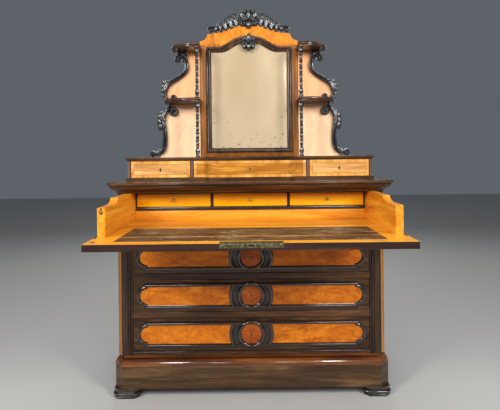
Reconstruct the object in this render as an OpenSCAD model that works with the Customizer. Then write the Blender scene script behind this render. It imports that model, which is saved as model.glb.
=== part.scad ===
// Dressing commode with a pull-out writing drawer, a gradin of small drawers,
// an arched mirror and two shelves each side. Millimetres, +Z up, front faces -Y.
// Shown with the writing drawer pulled out and its drop front lowered.

/* [Carcass] */
// Width of the carcass over its canted corners
body_w = 1178; // [1120:2:1240]
// Depth of the carcass behind its front plane
body_d = 580; // [570:5:640]
// Thickness of the carcass sides
side_t = 30; // [26:1:32]
// Thickness of the back panel
back_t = 12; // [8:1:14]
// Width of the canted strip on each front corner, in plan
cant = 19; // [12:1:24]
// Width of a corner post, from the side inwards
post_w = 68; // [60:1:70]
// Depth of a corner post
post_d = 45; // [38:1:50]

/* [Plinth and feet] */
// Height of the block feet
foot_h = 42; // [34:1:50]
// Width of a block foot
foot_w = 110; // [96:1:116]
// Height of the plinth boards above the floor
plinth_z = 140; // [130:1:144]
// Height of the top of the plinth moulding above the floor
carcass_z = 174; // [166:1:178]
// How far the plinth stands out at the front
plinth_out = 30; // [20:1:34]

/* [Lower drawers] */
// Height of the underside of the lowest drawer front
drawer_z = 196; // [194:1:198]
// Height of a drawer front
drawer_h = 140; // [134:1:142]
// Spacing of the drawers
drawer_pitch = 169; // [167:1:170]
// Half height of the veneered panels
panel_half_h = 40.5; // [36:0.5:42]
// Distance from the centre to the middle of a panel's round end
panel_end_x = 455; // [445:1:458]
// Radius of the central disc
disc_r = 45; // [38:1:48]
// Radius of the ring moulding around the disc
ring_r = 98; // [90:1:104]

/* [Writing drawer] */
// Height of the writing surface
desk_z = 759; // [755:1:762]
// Thickness of the writing board and of the drop front
board_t = 24; // [20:1:24]
// How far the writing drawer is pulled out
drawer_out = 339; // [300:1:342]
// Length of the drop front from its hinge line
flap_h = 129; // [120:1:129]
// Width of the drop front
flap_w = 1120; // [1112:1:1124]
// Thickness of the writing drawer's sides
desk_side_t = 29; // [24:1:30]
// Height of the underside of the small drawers' case
case_z = 802; // [796:1:806]
// Depth of the small drawers' case
case_d = 140; // [130:1:142]

/* [Top] */
// Height of the underside of the cornice
cornice_z = 889; // [889:1:892]
// Height of the top board's upper face
top_z = 935; // [930:1:940]
// How far the cornice stands out at the sides
cornice_out = 43; // [34:1:46]

/* [Gradin] */
// Half width of the gradin's carcass
gradin_half_w = 577; // [560:1:580]
// Distance of the gradin's side drawers behind the carcass front
gradin_y = 140; // [130:1:150]
// How far the middle drawer breaks forward
gradin_break = 35; // [25:1:40]
// Height of the gradin's upper face
gradin_z = 1044; // [1040:1:1048]

/* [Mirror] */
// Half width of the visible glass
glass_half_w = 208; // [200:1:210]
// Height of the lower edge of the visible glass
glass_z = 1091; // [1086:1:1096]
// Height of the glass at its sides
glass_side_z = 1619; // [1600:1:1622]
// Rise of the glass to the top of its arch
glass_rise = 48; // [40:1:52]
// Width of the dark moulded frame
frame_w = 27; // [24:1:28]
// Half width of the veneered surround
surround_half_w = 271; // [266:1:274]
// Distance of the surround's face behind the carcass front
mirror_y = 480; // [470:1:484]

/* [Shelves] */
// Depth of the shelves
shelf_d = 139; // [120:1:144]
// Height of the middle shelf's underside
middle_shelf_z = 1332; // [1320:1:1340]
// Height of the top shelf's underside
top_shelf_z = 1620; // [1610:1:1624]
// Reach of the middle shelf from the centre
middle_shelf_x = 469; // [455:1:474]
// Reach of the top shelf from the centre
top_shelf_x = 426; // [415:1:432]
// Thickness of a shelf
shelf_t = 23; // [20:1:25]

/* [Hidden] */
$fn = 64;
joint = 0.2; // glue line that keeps neighbouring boards separate solids
slack = 0.3; // clearance between pieces that move apart
lap = 0.5; // how far stacked layers of one moulding run into each other
half_w = body_w / 2;
inner_w = half_w - side_t; // half width inside the carcass
post_x = half_w - post_w; // inner face of a corner post
rail_d = 60;
rail_z = desk_z - board_t - 2; // top of the rail under the writing drawer
front_half_w = post_x - 2; // half width of a lower drawer front
front_t = 22;
moulding_t = 10;
plinth_half_w = half_w + 13;
plinth_cant = 41;
plinth_t = 25;
hinge_y = -drawer_out - slack;
desk_half_w = inner_w - 6;
desk_inner_w = desk_half_w - desk_side_t;
desk_front = -drawer_out;
case_front = 72;
case_back = case_front + case_d;
case_top = cornice_z - 2;
bay_w = 2 * desk_inner_w / 3; // one small drawer's share of the case
divider_t = 10;
gradin_drawer_z = top_z + 12;
gradin_back = mirror_y + 40;
gradin_t = 12;
break_out_x = 223;
break_in_x = 174;
middle_drawer_x = 265;
etagere_y = mirror_y + 4;
column_x = surround_half_w + 1;
column_y = mirror_y - shelf_d + 15;
column_r = 11;
lock_x0 = -104;
lock_x1 = 110;
catch_x = -(desk_half_w + desk_inner_w) / 2;
catch_rise = 89;
leaf_t = 2; // thickness of a hinge leaf
leaf_r = 7; // radius of a hinge leaf's eye
pin_r = 2; // radius of a hinge pin
front_y = (-hinge_y + slack + flap_h - body_d) / 2; // origin under the middle of the whole

rosewood = "#3b2118";
satinwood = "#c9762c";
ebonised = "#1c1614";
brass = "#a98a4a";
leather = "#33261f";
silvered = "#c9c2b2";
pine = "#b98a55";

function smooth(t) = let (c = max(0, min(1, t))) (1 - cos(180 * c)) / 2;
function bezier(a, b, c, d, n) =
    [for (i = [0 : n]) let (t = i / n, u = 1 - t)
        u * u * u * a + 3 * u * u * t * b + 3 * u * t * t * c + t * t * t * d];
function side_step(path, i) =
    let (a = path[max(0, i - 1)], b = path[min(len(path) - 1, i + 1)], d = b - a)
    [-d[1], d[0]] / norm(d);
function offset_path(path, w) = [for (i = [0 : len(path) - 1]) path[i] + w * side_step(path, i)];
function back_to_front(path) = [for (i = [len(path) - 1 : -1 : 0]) path[i]];

module framed() {
    translate([0, front_y, 0]) children();
}

module board(x0, x1, y0, y1, z0, z1) {
    translate([x0, y0, z0]) cube([x1 - x0, y1 - y0, z1 - z0]);
}

module both_sides() {
    children();
    mirror([1, 0, 0]) children();
}

// A plan outline drawn in X and Y, raised between two heights
module flat(z0, z1) {
    translate([0, 0, z0]) linear_extrude(z1 - z0) children();
}

// An outline drawn in X and Z, given depth between two Y planes
module upright(y0, y1) {
    translate([0, y1, 0]) rotate([90, 0, 0]) linear_extrude(y1 - y0) children();
}

// An outline drawn in Y and Z, given length between two X planes
module lengthwise(x0, x1) {
    translate([x0, 0, 0]) rotate([90, 0, 90]) linear_extrude(x1 - x0) children();
}

module canted_plan(half, front, back, c) {
    polygon([[-half, back], [-half, front + c], [-half + c, front],
        [half - c, front], [half, front + c], [half, back]]);
}

// Plan with a flat front at the sides and a middle that swells forward
module breakfront_plan(half, front, out, back) {
    steps = 10;
    swell = [for (i = [0 : steps])
        let (x = break_out_x - (break_out_x - break_in_x) * i / steps)
        [x, front - out * smooth(i / steps)]];
    polygon(concat([[half, back], [half, front]], swell,
        [for (p = back_to_front(swell)) [-p[0], p[1]]], [[-half, front], [-half, back]]));
}

// Arched opening: straight sides, S-curved shoulders and a flat crown
module arch_outline(half, bottom, side_top, rise) {
    steps = 16;
    x_out = half - 54;
    x_in = half * 0.15;
    shoulder = [for (i = [0 : steps])
        [x_out - (x_out - x_in) * i / steps, side_top + rise * smooth(i / steps)]];
    polygon(concat([[half, bottom], [half, side_top]], shoulder,
        [for (p = back_to_front(shoulder)) [-p[0], p[1]]], [[-half, side_top], [-half, bottom]]));
}

// Five boards of a drawer box, open at the top; its front closes the box
module drawer_box(x0, x1, y0, y1, z0, z1, t) {
    board(x0, x0 + t, y0, y1, z0, z1);
    board(x1 - t, x1, y0, y1, z0, z1);
    board(x0 + t + joint, x1 - t - joint, y1 - t, y1, z0, z1);
    board(x0 + t + joint, x1 - t - joint, y0, y1 - t - joint, z0, z0 + t / 2);
}

// ---------- plinth and feet ----------
module foot() {
    translate([0, 0, foot_h - 12]) linear_extrude(12) foot_plan(foot_w);
    translate([0, 0, 10]) linear_extrude(foot_h - 22) foot_plan(foot_w + 6);
    linear_extrude(10) foot_plan(foot_w);
}

module foot_plan(w) {
    c = 20;
    h = w / 2;
    polygon([[h, c - h], [h, h - c], [h - c, h], [c - h, h],
        [-h, h - c], [-h, c - h], [c - h, -h], [h - c, -h]]);
}

module feet() {
    color(rosewood) framed() both_sides() {
        translate([plinth_half_w - foot_w / 2 - 1, foot_w / 2 - plinth_out, 0]) foot();
        translate([plinth_half_w - foot_w / 2 - 1, body_d - foot_w / 2 - 4, 0]) foot();
    }
}

module plinth_boards() {
    corner_y = plinth_cant - plinth_out;
    front_x = plinth_half_w - plinth_cant;
    color(rosewood) framed() {
        board(-front_x + joint, front_x - joint, -plinth_out, plinth_t - plinth_out,
            foot_h, plinth_z);
        both_sides() {
            flat(foot_h, plinth_z) polygon([[front_x, -plinth_out], [plinth_half_w, corner_y],
                [plinth_half_w - 18, corner_y + 18], [front_x, plinth_t - plinth_out]]);
            board(plinth_half_w - plinth_t, plinth_half_w, corner_y + 18 + joint, body_d,
                foot_h, plinth_z);
        }
    }
}

// The rounded moulding on the plinth, as one stack over the whole plan
module plinth_stack() {
    steps = 5;
    rise = (carcass_z - plinth_z) / steps;
    for (i = [0 : steps - 1]) {
        inset = (plinth_half_w - half_w) * (1 - cos(90 * i / steps));
        flat(plinth_z + (i == 0 ? 0 : i * rise - lap), plinth_z + (i + 1) * rise)
            canted_plan(plinth_half_w - inset, inset - plinth_out, body_d, plinth_cant);
    }
}

module plinth_moulding() {
    reach = plinth_half_w + 1;
    color(rosewood) framed() {
        intersection() {
            plinth_stack();
            board(-reach, reach, -plinth_out - 1, front_t, plinth_z, carcass_z);
        }
        both_sides() intersection() {
            plinth_stack();
            board(half_w - 12, reach, front_t + joint, body_d, plinth_z, carcass_z);
        }
    }
}

// ---------- carcass ----------
module bottom_board() {
    color(pine) framed() board(-half_w + 12 + joint, half_w - 12 - joint, front_t + joint,
        body_d, carcass_z - 24, carcass_z);
}

module side_panels() {
    color(rosewood) framed() both_sides() {
        board(inner_w, half_w, post_d + joint, body_d, carcass_z, rail_z);
        flat(rail_z, cornice_z - joint) polygon([[inner_w, 0], [half_w - cant, 0],
            [half_w, cant], [half_w, body_d], [inner_w, body_d]]);
        board(inner_w, half_w, front_t + joint, body_d, cornice_z - joint, top_z - 23);
    }
}

module corner_posts() {
    color(rosewood) framed() both_sides() {
        flat(carcass_z, rail_z - joint) polygon([[post_x, 0], [half_w - cant, 0],
            [half_w, cant], [half_w, post_d], [post_x, post_d]]);
    }
}

module back_panel() {
    color(pine) framed() board(-inner_w + joint, inner_w - joint, body_d - back_t, body_d,
        carcass_z, top_z - 23);
}

module drawer_rails() {
    rail_half = post_x - joint;
    color(rosewood) framed() {
        board(-rail_half, rail_half, 0, rail_d, carcass_z, drawer_z - 2);
        for (i = [0 : 1]) {
            under = drawer_z + drawer_h + i * drawer_pitch + 2;
            board(-rail_half, rail_half, 0, rail_d, under, drawer_z + (i + 1) * drawer_pitch - 2);
        }
        board(-rail_half, rail_half, 0, rail_d, drawer_z + 2 * drawer_pitch + drawer_h + 3, rail_z);
    }
}

module drawer_runners() {
    color(pine) framed() both_sides() {
        for (i = [0 : 2]) {
            top = drawer_z + i * drawer_pitch + 3;
            board(post_x - 40, inner_w, rail_d + joint, body_d - back_t, top - 20, top);
        }
        board(post_x - 40, inner_w, rail_d + joint, body_d - back_t, rail_z - 22, rail_z);
    }
}

module top_board() {
    color(rosewood) framed() board(-half_w, half_w, front_t + joint, body_d, top_z - 23, top_z);
}

// The cornice's stepped ogee, as one stack over the whole plan
module cornice_stack() {
    steps = 6;
    rise = (top_z - 12 - cornice_z) / steps;
    for (i = [0 : steps - 1]) {
        out = 8 + (cornice_out - 13) * smooth((i + 0.5) / steps);
        flat(cornice_z + i * rise, cornice_z + (i + 1) * rise + lap)
            canted_plan(half_w + out, -out, body_d, cornice_out);
    }
    flat(top_z - 12, top_z) canted_plan(half_w + cornice_out, 4 - cornice_out, body_d,
        cornice_out + 1);
}

module cornice_moulding() {
    reach = half_w + cornice_out + 1;
    color(rosewood) framed() {
        intersection() {
            cornice_stack();
            board(-reach, reach, -cornice_out - 1, front_t, cornice_z, top_z);
        }
        both_sides() intersection() {
            cornice_stack();
            board(half_w + joint, reach, front_t + joint, body_d, cornice_z, top_z);
        }
    }
}

// ---------- gradin ----------
module gradin_base() {
    color(rosewood) framed() flat(top_z, gradin_drawer_z)
        breakfront_plan(gradin_half_w + 8, gradin_y - 8, gradin_break, gradin_back);
}

module gradin_top() {
    color(rosewood) framed() {
        flat(gradin_z - 16, gradin_z - 10)
            breakfront_plan(gradin_half_w + 3, gradin_y - 3, gradin_break, gradin_back);
        flat(gradin_z - 10, gradin_z)
            breakfront_plan(gradin_half_w + 8, gradin_y - 8, gradin_break, gradin_back);
    }
}

module gradin_sides() {
    color(rosewood) framed() both_sides() board(gradin_half_w - gradin_t, gradin_half_w,
        gradin_y, gradin_back - gradin_t - joint, gradin_drawer_z, gradin_z - 16);
}

module gradin_dividers() {
    color(rosewood) framed() both_sides() board(middle_drawer_x + 3, middle_drawer_x + 15,
        gradin_y, gradin_back - gradin_t - joint, gradin_drawer_z, gradin_z - 16);
}

module gradin_back() {
    color(pine) framed() board(-gradin_half_w, gradin_half_w, gradin_back - gradin_t,
        gradin_back, gradin_drawer_z, gradin_z - 16);
}

// Lock: a cased bolt behind the front and a small keyhole plate on its face
module drawer_lock(x, y, z, t, w, h) {
    upright(y - 1, y - 0.05) translate([x, z]) difference() {
        circle(r = 6);
        circle(r = 2.5);
    }
    board(x - w / 2, x + w / 2, y + t + joint, y + t + 8, z - h / 2, z + h / 2);
}

module gradin_side_drawer() {
    x0 = middle_drawer_x + 18;
    x1 = gradin_half_w - gradin_t - 3;
    z0 = gradin_drawer_z + 1;
    z1 = gradin_z - 18;
    mid_x = (x0 + x1) / 2;
    mid_z = (z0 + z1) / 2;
    difference() {
        board(x0, x1, gradin_y, gradin_y + 18, z0, z1);
        translate([mid_x, gradin_y + 20, mid_z]) rotate([90, 0, 0]) cylinder(r = 3, h = 30);
    }
    drawer_box(x0 + 2, x1 - 2, gradin_y + 18 + joint, gradin_back - gradin_t - 8, z0, z1 - 6, 8);
    drawer_lock(mid_x, gradin_y, mid_z, 18, 36, 30);
}

module gradin_drawer_right() {
    color(satinwood) framed() gradin_side_drawer();
}

module gradin_drawer_left() {
    color(satinwood) framed() mirror([1, 0, 0]) gradin_side_drawer();
}

module gradin_drawer_middle() {
    z0 = gradin_drawer_z + 1;
    z1 = gradin_z - 18;
    mid_z = (z0 + z1) / 2;
    face = gradin_y - gradin_break;
    color(satinwood) framed() {
        difference() {
            flat(z0, z1) breakfront_plan(middle_drawer_x, gradin_y, gradin_break, gradin_y + 18);
            translate([0, gradin_y + 20, mid_z]) rotate([90, 0, 0]) cylinder(r = 3, h = 80);
        }
        drawer_box(2 - middle_drawer_x, middle_drawer_x - 2, gradin_y + 18 + joint,
            gradin_back - gradin_t - 8, z0, z1 - 6, 8);
        drawer_lock(0, face, mid_z, 18 + gradin_break, 36, 30);
    }
}

// ---------- lower drawers ----------
module stadium_half(x_square, x_end, half_h, r) {
    translate([0, -half_h]) square([x_square, 2 * half_h]);
    translate([x_end, 0]) circle(r = r);
}

module panel_outline() {
    difference() {
        stadium_half(panel_end_x, panel_end_x, panel_half_h, panel_half_h - 5.5);
        circle(r = ring_r);
    }
}

module front_moulding() {
    difference() {
        union() {
            both_sides() stadium_half(panel_end_x + 18, panel_end_x, panel_half_h + 17.5,
                panel_half_h + 8.5);
        }
        both_sides() panel_outline();
        circle(r = disc_r);
    }
}

module lower_front(i) {
    z = drawer_z + i * drawer_pitch;
    color(rosewood) framed() difference() {
        union() {
            board(-front_half_w, front_half_w, 0, front_t, z, z + drawer_h);
            upright(-moulding_t, 0) translate([0, z + drawer_h / 2]) front_moulding();
        }
        translate([0, front_t + 1, z + drawer_h / 2]) rotate([90, 0, 0]) cylinder(r = 4, h = 40);
    }
}

module lower_box(i) {
    z = drawer_z + i * drawer_pitch;
    color(pine) framed() drawer_box(3 - front_half_w, front_half_w - 3, front_t + joint,
        body_d - back_t - 28, z + 3 + slack, z + drawer_h - 14, 12);
}

module lower_panels(i) {
    z = drawer_z + i * drawer_pitch + drawer_h / 2;
    color(satinwood) framed() {
        upright(-4, -joint) translate([0, z]) both_sides() intersection() {
            panel_outline();
            translate([0, -panel_half_h + joint]) square([600, 2 * (panel_half_h - joint)]);
        }
        upright(-6, -joint) translate([0, z]) difference() {
            circle(r = disc_r - joint);
            circle(r = 7);
        }
    }
}

module lower_lock(i) {
    z = drawer_z + i * drawer_pitch + drawer_h / 2;
    color(brass) framed() {
        upright(-7, -joint) translate([0, z]) difference() {
            circle(r = 7 - joint);
            circle(r = 3);
        }
        board(-35, 35, front_t + joint, front_t + 14, z - 28, z + 28);
    }
}

module lower_front_1() {
    lower_front(0);
}

module lower_front_2() {
    lower_front(1);
}

module lower_front_3() {
    lower_front(2);
}

module lower_box_1() {
    lower_box(0);
}

module lower_box_2() {
    lower_box(1);
}

module lower_box_3() {
    lower_box(2);
}

module lower_panels_1() {
    lower_panels(0);
}

module lower_panels_2() {
    lower_panels(1);
}

module lower_panels_3() {
    lower_panels(2);
}

module lower_lock_1() {
    lower_lock(0);
}

module lower_lock_2() {
    lower_lock(1);
}

module lower_lock_3() {
    lower_lock(2);
}

// ---------- writing drawer ----------
module writing_bottom() {
    color(satinwood) framed() board(joint - desk_inner_w, desk_inner_w - joint, desk_front,
        case_back, desk_z - board_t, desk_z);
}

// Side of the writing drawer: high at the back, stepped down through a cove
module writing_side() {
    low = cornice_z - 24;
    high = case_top;
    step_y = desk_front + 150;
    cove = high - low;
    cove_l = 60;
    lengthwise(desk_inner_w, desk_half_w) polygon(concat(
        [[desk_front, desk_z - board_t], [desk_front, low], [step_y - cove_l, low]],
        [for (a = [10 : 10 : 90]) [step_y - cove_l + cove_l * sin(a), high - cove * cos(a)]],
        [[case_back, high], [case_back, desk_z - board_t]]));
}

module writing_side_right() {
    color(satinwood) framed() writing_side();
}

module writing_side_left() {
    color(satinwood) framed() difference() {
        mirror([1, 0, 0]) writing_side();
        translate([catch_x, desk_front + 30, desk_z + catch_rise]) rotate([90, 0, 0])
            cylinder(r = 5.1, h = 40);
    }
}

module writing_case() {
    wall = desk_inner_w - joint;
    color(satinwood) framed() {
        board(-wall, wall, case_front, case_front + 12, desk_z, case_z);
        board(-wall, wall, case_front - 6, case_back, case_z + joint, case_z + 15);
        for (x = [-bay_w / 2, bay_w / 2])
            board(x - divider_t / 2, x + divider_t / 2, case_front + 1, case_back,
                case_z + 15 + joint, case_top - 8);
        both_sides() board(wall - 5, wall, case_front + 1, case_back,
            case_z + 15 + joint, case_top - 8);
        board(-wall, wall, case_front - 2, case_back, case_top - 8 + joint, case_top);
    }
}

module writing_back() {
    color(pine) framed() board(-desk_half_w, desk_half_w, case_back + joint, case_back + 12,
        desk_z - board_t, case_top);
}

module desk_leather() {
    color(leather) framed() board(-470, 470, desk_front + 3, -160, desk_z, desk_z + 1);
}

// Brass on the drawer: a ring around the catch button and the fixed hinge leaves,
// whose eyes stand forward of the sides' outer faces
module desk_fittings() {
    color(brass) framed() {
        translate([catch_x, desk_front, desk_z + catch_rise]) rotate([90, 0, 0]) difference() {
            cylinder(r = 7.5, h = 1);
            translate([0, 0, -1]) cylinder(r = 5.1, h = 3);
        }
        both_sides() lengthwise(desk_half_w + joint, desk_half_w + leaf_t) difference() {
            union() {
                translate([hinge_y, desk_z]) circle(r = leaf_r);
                translate([hinge_y, desk_z - leaf_r]) square([42, 2 * leaf_r]);
            }
            translate([hinge_y, desk_z]) circle(r = pin_r + 0.05);
        }
    }
}

module catch_button() {
    color(brass) framed() translate([catch_x, desk_front + 14, desk_z + catch_rise])
        rotate([90, 0, 0]) {
            cylinder(r = 5, h = 17);
            translate([0, 0, 17]) cylinder(r1 = 5, r2 = 3.6, h = 1.5);
        }
}

// ---------- drop front ----------
module flap_board() {
    y1 = hinge_y - slack;
    y0 = y1 - flap_h;
    color(rosewood) framed() difference() {
        board(-flap_w / 2, flap_w / 2, y0, y1, desk_z - board_t, desk_z);
        board(lock_x0 - joint, lock_x1 + joint, y0 - 1, y0 + 36 + joint, desk_z - 1.5,
            desk_z + 1);
        board(lock_x0 - joint, lock_x1 + joint, y0 - 1, y0 + 1.5, desk_z - 15, desk_z + 1);
        translate([catch_x, hinge_y - catch_rise, desk_z - 8]) cylinder(r = 9, h = 9);
        both_sides() board(desk_half_w - joint, desk_half_w + 2 * leaf_t + 2 * slack,
            y1 - 30, y1 + 1, desk_z - 17, desk_z + 1);
    }
}

module flap_leather() {
    color(leather) framed() board(-470, 470, hinge_y - 84, hinge_y - 3, desk_z, desk_z + 1);
}

module flap_lock() {
    y0 = hinge_y - slack - flap_h;
    color(brass) framed() {
        board(lock_x0, lock_x1, y0 + 1.5 + joint, y0 + 36, desk_z - 1.5 + joint / 2, desk_z);
        board(lock_x0, lock_x1, y0, y0 + 1.5 - joint / 2, desk_z - 15 + joint, desk_z);
    }
}

// Moving hinge leaves: let into the drop front's ends, with the pins
module flap_hinges() {
    x0 = desk_half_w + leaf_t + slack;
    color(brass) framed() both_sides() {
        lengthwise(x0, x0 + leaf_t) union() {
            translate([hinge_y, desk_z]) circle(r = leaf_r);
            polygon([[hinge_y - 28, desk_z - 15], [hinge_y - 28, desk_z - 3],
                [hinge_y - 4, desk_z + 5.5], [hinge_y + 2, desk_z - 6.5]]);
        }
        translate([desk_half_w + joint, hinge_y, desk_z]) rotate([0, 90, 0])
            cylinder(r = pin_r, h = leaf_t + slack);
    }
}

// ---------- small drawers ----------
module small_drawer(i) {
    half = (bay_w - divider_t) / 2 - 1.5;
    z0 = case_z + 16.5;
    z1 = case_top - 9.5;
    color(satinwood) framed() translate([(i - 1) * bay_w, 0, 0]) {
        board(-half, half, case_front, case_front + 10, z0, z1);
        drawer_box(-half, half, case_front + 10 + joint, case_back - 4, z0, z1 - 3, 6);
    }
}

module small_knob(i) {
    color(brass) framed() translate([(i - 1) * bay_w, case_front,
        (case_z + 15 + case_top - 8) / 2]) rotate([90, 0, 0]) rotate_extrude()
        polygon(concat([[0, 0], [5, 0], [5, 1.5], [2.8, 2.5], [2.8, 5]],
            [for (a = [-60 : 15 : 90]) [6.5 * cos(a), 9.5 + 5 * sin(a)]]));
}

module small_drawer_left() {
    small_drawer(0);
}

module small_drawer_middle() {
    small_drawer(1);
}

module small_drawer_right() {
    small_drawer(2);
}

module small_knob_left() {
    small_knob(0);
}

module small_knob_middle() {
    small_knob(1);
}

module small_knob_right() {
    small_knob(2);
}

// ---------- mirror ----------
frame_bottom = glass_z - frame_w + 3;
frame_half_w = glass_half_w + frame_w;
frame_side_z = glass_side_z + frame_w + 2;
frame_rise = glass_rise + 10;
rebate = 13;
crown_z = frame_side_z + frame_rise;
shoulder_z = frame_side_z + 34;
cove_x = surround_half_w - 42;
cove_z = shoulder_z + 40;
crest_rise = 40;

module surround_outline() {
    polygon(concat([[surround_half_w, gradin_z], [surround_half_w, shoulder_z]],
        [for (a = [0 : 15 : 90])
            [surround_half_w - 42 * sin(a), cove_z - 40 * cos(a)]],
        [for (i = [1 : 8]) [cove_x * (1 - i / 8), cove_z + crest_rise * smooth(i / 8)]],
        [for (i = [7 : -1 : 0]) [-cove_x * (1 - i / 8), cove_z + crest_rise * smooth(i / 8)]],
        [for (a = [75 : -15 : 0]) [42 * sin(a) - surround_half_w, cove_z - 40 * cos(a)]],
        [[-surround_half_w, gradin_z]]));
}

module mirror_surround() {
    color(satinwood) framed() upright(mirror_y, mirror_y + 24) difference() {
        surround_outline();
        arch_outline(glass_half_w + rebate + 1, glass_z - rebate - 1,
            glass_side_z + rebate + 1, glass_rise);
    }
}

module mirror_frame() {
    color(ebonised) framed() {
        upright(mirror_y - 14, mirror_y - joint) difference() {
            arch_outline(frame_half_w, frame_bottom, frame_side_z, frame_rise);
            arch_outline(frame_half_w - 14, frame_bottom + 14, frame_side_z - 14, frame_rise);
        }
        upright(mirror_y - 8, mirror_y - joint) difference() {
            arch_outline(frame_half_w - 10, frame_bottom + 10, frame_side_z - 10, frame_rise);
            arch_outline(glass_half_w, glass_z, glass_side_z, glass_rise);
        }
    }
}

module mirror_glass() {
    color(silvered) framed() upright(mirror_y, mirror_y + 4) arch_outline(
        glass_half_w + rebate, glass_z - rebate, glass_side_z + rebate, glass_rise);
}

module mirror_backboard() {
    color(pine) framed() upright(mirror_y + 24 + joint, mirror_y + 32)
        arch_outline(glass_half_w + 40, glass_z - 30, glass_side_z + 40, glass_rise);
}

// A leaf lobe: a pointed oval lying along its own X axis
module lobe(x, z, length, width, turn) {
    bow = (length * length / 4 + width * width / 4) / width;
    translate([x, z]) rotate(turn) intersection() {
        translate([0, bow - width / 2]) circle(r = bow);
        translate([0, width / 2 - bow]) circle(r = bow);
    }
}

module crest_carving() {
    foot_z = crown_z + 40;
    color(ebonised) framed() upright(mirror_y - 22, mirror_y - joint) both_sides()
        translate([0, foot_z - crown_z]) {
            lobe(0, crown_z + 58, 118, 52, 90);
            lobe(26, crown_z + 44, 96, 40, 70);
            lobe(62, crown_z + 30, 92, 46, 35);
            lobe(104, crown_z + 14, 92, 34, -24);
            lobe(150, crown_z - 6, 96, 26, -18);
            lobe(195, crown_z - 16, 66, 22, -6);
            translate([92, crown_z + 22]) circle(r = 22);
            translate([46, crown_z + 14]) circle(r = 18);
            translate([0, crown_z + 10]) circle(r = 22);
            translate([150, crown_z + 2]) circle(r = 12);
        }
}

module mirror_cartouche() {
    z = crown_z - 36;
    color(ebonised) framed() upright(mirror_y - 34, mirror_y - 14 - joint) {
        lobe(0, z, 96, 60, 90);
        both_sides() {
            translate([24, z + 16]) circle(r = 20);
            translate([20, z - 14]) circle(r = 16);
            lobe(18, z - 30, 44, 20, 70);
        }
    }
}

// ---------- étagère ----------
module shelf_plan(reach) {
    inner = surround_half_w - 14;
    start = surround_half_w + 8;
    polygon(concat([[inner, etagere_y - joint - 4], [inner, mirror_y - shelf_d],
            [start, mirror_y - shelf_d]],
        [for (a = [80 : -10 : 0]) [start + (reach - start) * cos(a),
            mirror_y - 4 - (shelf_d - 4) * sin(a)]],
        [[reach, etagere_y - joint], [surround_half_w + 1, etagere_y - joint],
            [surround_half_w + 1, etagere_y - joint - 4]]));
}

module shelf(reach, z) {
    flat(z, z + shelf_t) shelf_plan(reach);
}

module shelves_top() {
    color(rosewood) framed() both_sides() shelf(top_shelf_x, top_shelf_z);
}

module shelves_middle() {
    color(rosewood) framed() both_sides() shelf(middle_shelf_x, middle_shelf_z);
}

// Centre lines of the carved scrolls, as distances from the middle and heights
upper_top = top_shelf_z - 14.5;
upper_low = middle_shelf_z + shelf_t + 14;
lower_top = middle_shelf_z - 24;
function upper_scroll() = concat(
    bezier([392, upper_top], [352, upper_top - 6], [326, upper_top - 60],
        [352, upper_top - 96], 8),
    [for (p = bezier([352, upper_top - 96], [380, upper_top - 138], [488, upper_top - 150],
        [458, upper_low], 10)) if (p[0] != 352) p]);
function lower_scroll() = concat(
    bezier([446, lower_top], [496, lower_top - 60], [462, lower_top - 100],
        [464, lower_top - 150], 8),
    [for (p = bezier([464, lower_top - 150], [466, lower_top - 216], [470, gradin_z + 26],
        [526, gradin_z + 17], 8)) if (p[0] != 464) p]);

module scroll_stem(path, w) {
    polygon(concat(offset_path(path, w / 2), back_to_front(offset_path(path, -w / 2))));
}

module etagere_panel(path, low, high) {
    polygon(concat([[surround_half_w + joint, high]], [[path[0][0], high]], path,
        [[path[len(path) - 1][0], low], [surround_half_w + joint, low]]));
}

module etagere_panels() {
    color(satinwood) framed() both_sides() upright(etagere_y, etagere_y + 12) {
        etagere_panel(upper_scroll(), middle_shelf_z + shelf_t / 2, top_shelf_z + shelf_t - 4);
        etagere_panel([for (p = lower_scroll()) if (p[0] < 500) p], gradin_z,
            middle_shelf_z + shelf_t / 2 - joint);
    }
}

module scroll_brackets() {
    color(ebonised) framed() both_sides() upright(etagere_y - 26, etagere_y - joint) {
        scroll_stem(upper_scroll(), 26);
        translate([394, upper_top - 26]) circle(r = 17);
        translate([414, upper_low + 6]) circle(r = 19);
        lobe(434, upper_low - 2, 60, 22, 0);
        lobe(466, upper_low + 58, 110, 28, 96);
        scroll_stem(lower_scroll(), 28);
        translate([416, lower_top - 16]) circle(r = 26);
        lobe(480, lower_top - 76, 96, 28, -72);
        translate([534, gradin_z + 20]) circle(r = 19);
        lobe(446, lower_top - 2, 50, 22, 10);
    }
}

// Beaded colonnette between two shelves
module colonnette(z0, z1) {
    beads = 12;
    foot = 44;
    pitch = (z1 - z0 - 2 * foot) / beads;
    translate([column_x, column_y, 0]) rotate_extrude() polygon(concat(
        [[0, z0], [column_r + 2, z0], [column_r + 2, z0 + 6], [column_r - 4, z0 + 14],
            [column_r + 1, z0 + foot - 8]],
        [for (i = [0 : beads - 1]) each [[column_r - 4, z0 + foot + i * pitch],
            [column_r - 1, z0 + foot + (i + 0.3) * pitch],
            [column_r - 1, z0 + foot + (i + 0.7) * pitch]]],
        [[column_r - 4, z1 - foot], [column_r + 1, z1 - foot + 8], [column_r - 4, z1 - 14],
            [column_r + 2, z1 - 6], [column_r + 2, z1], [0, z1]]));
}

module columns() {
    color(ebonised) framed() both_sides() {
        colonnette(gradin_z, middle_shelf_z);
        colonnette(middle_shelf_z + shelf_t, top_shelf_z);
    }
}

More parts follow.
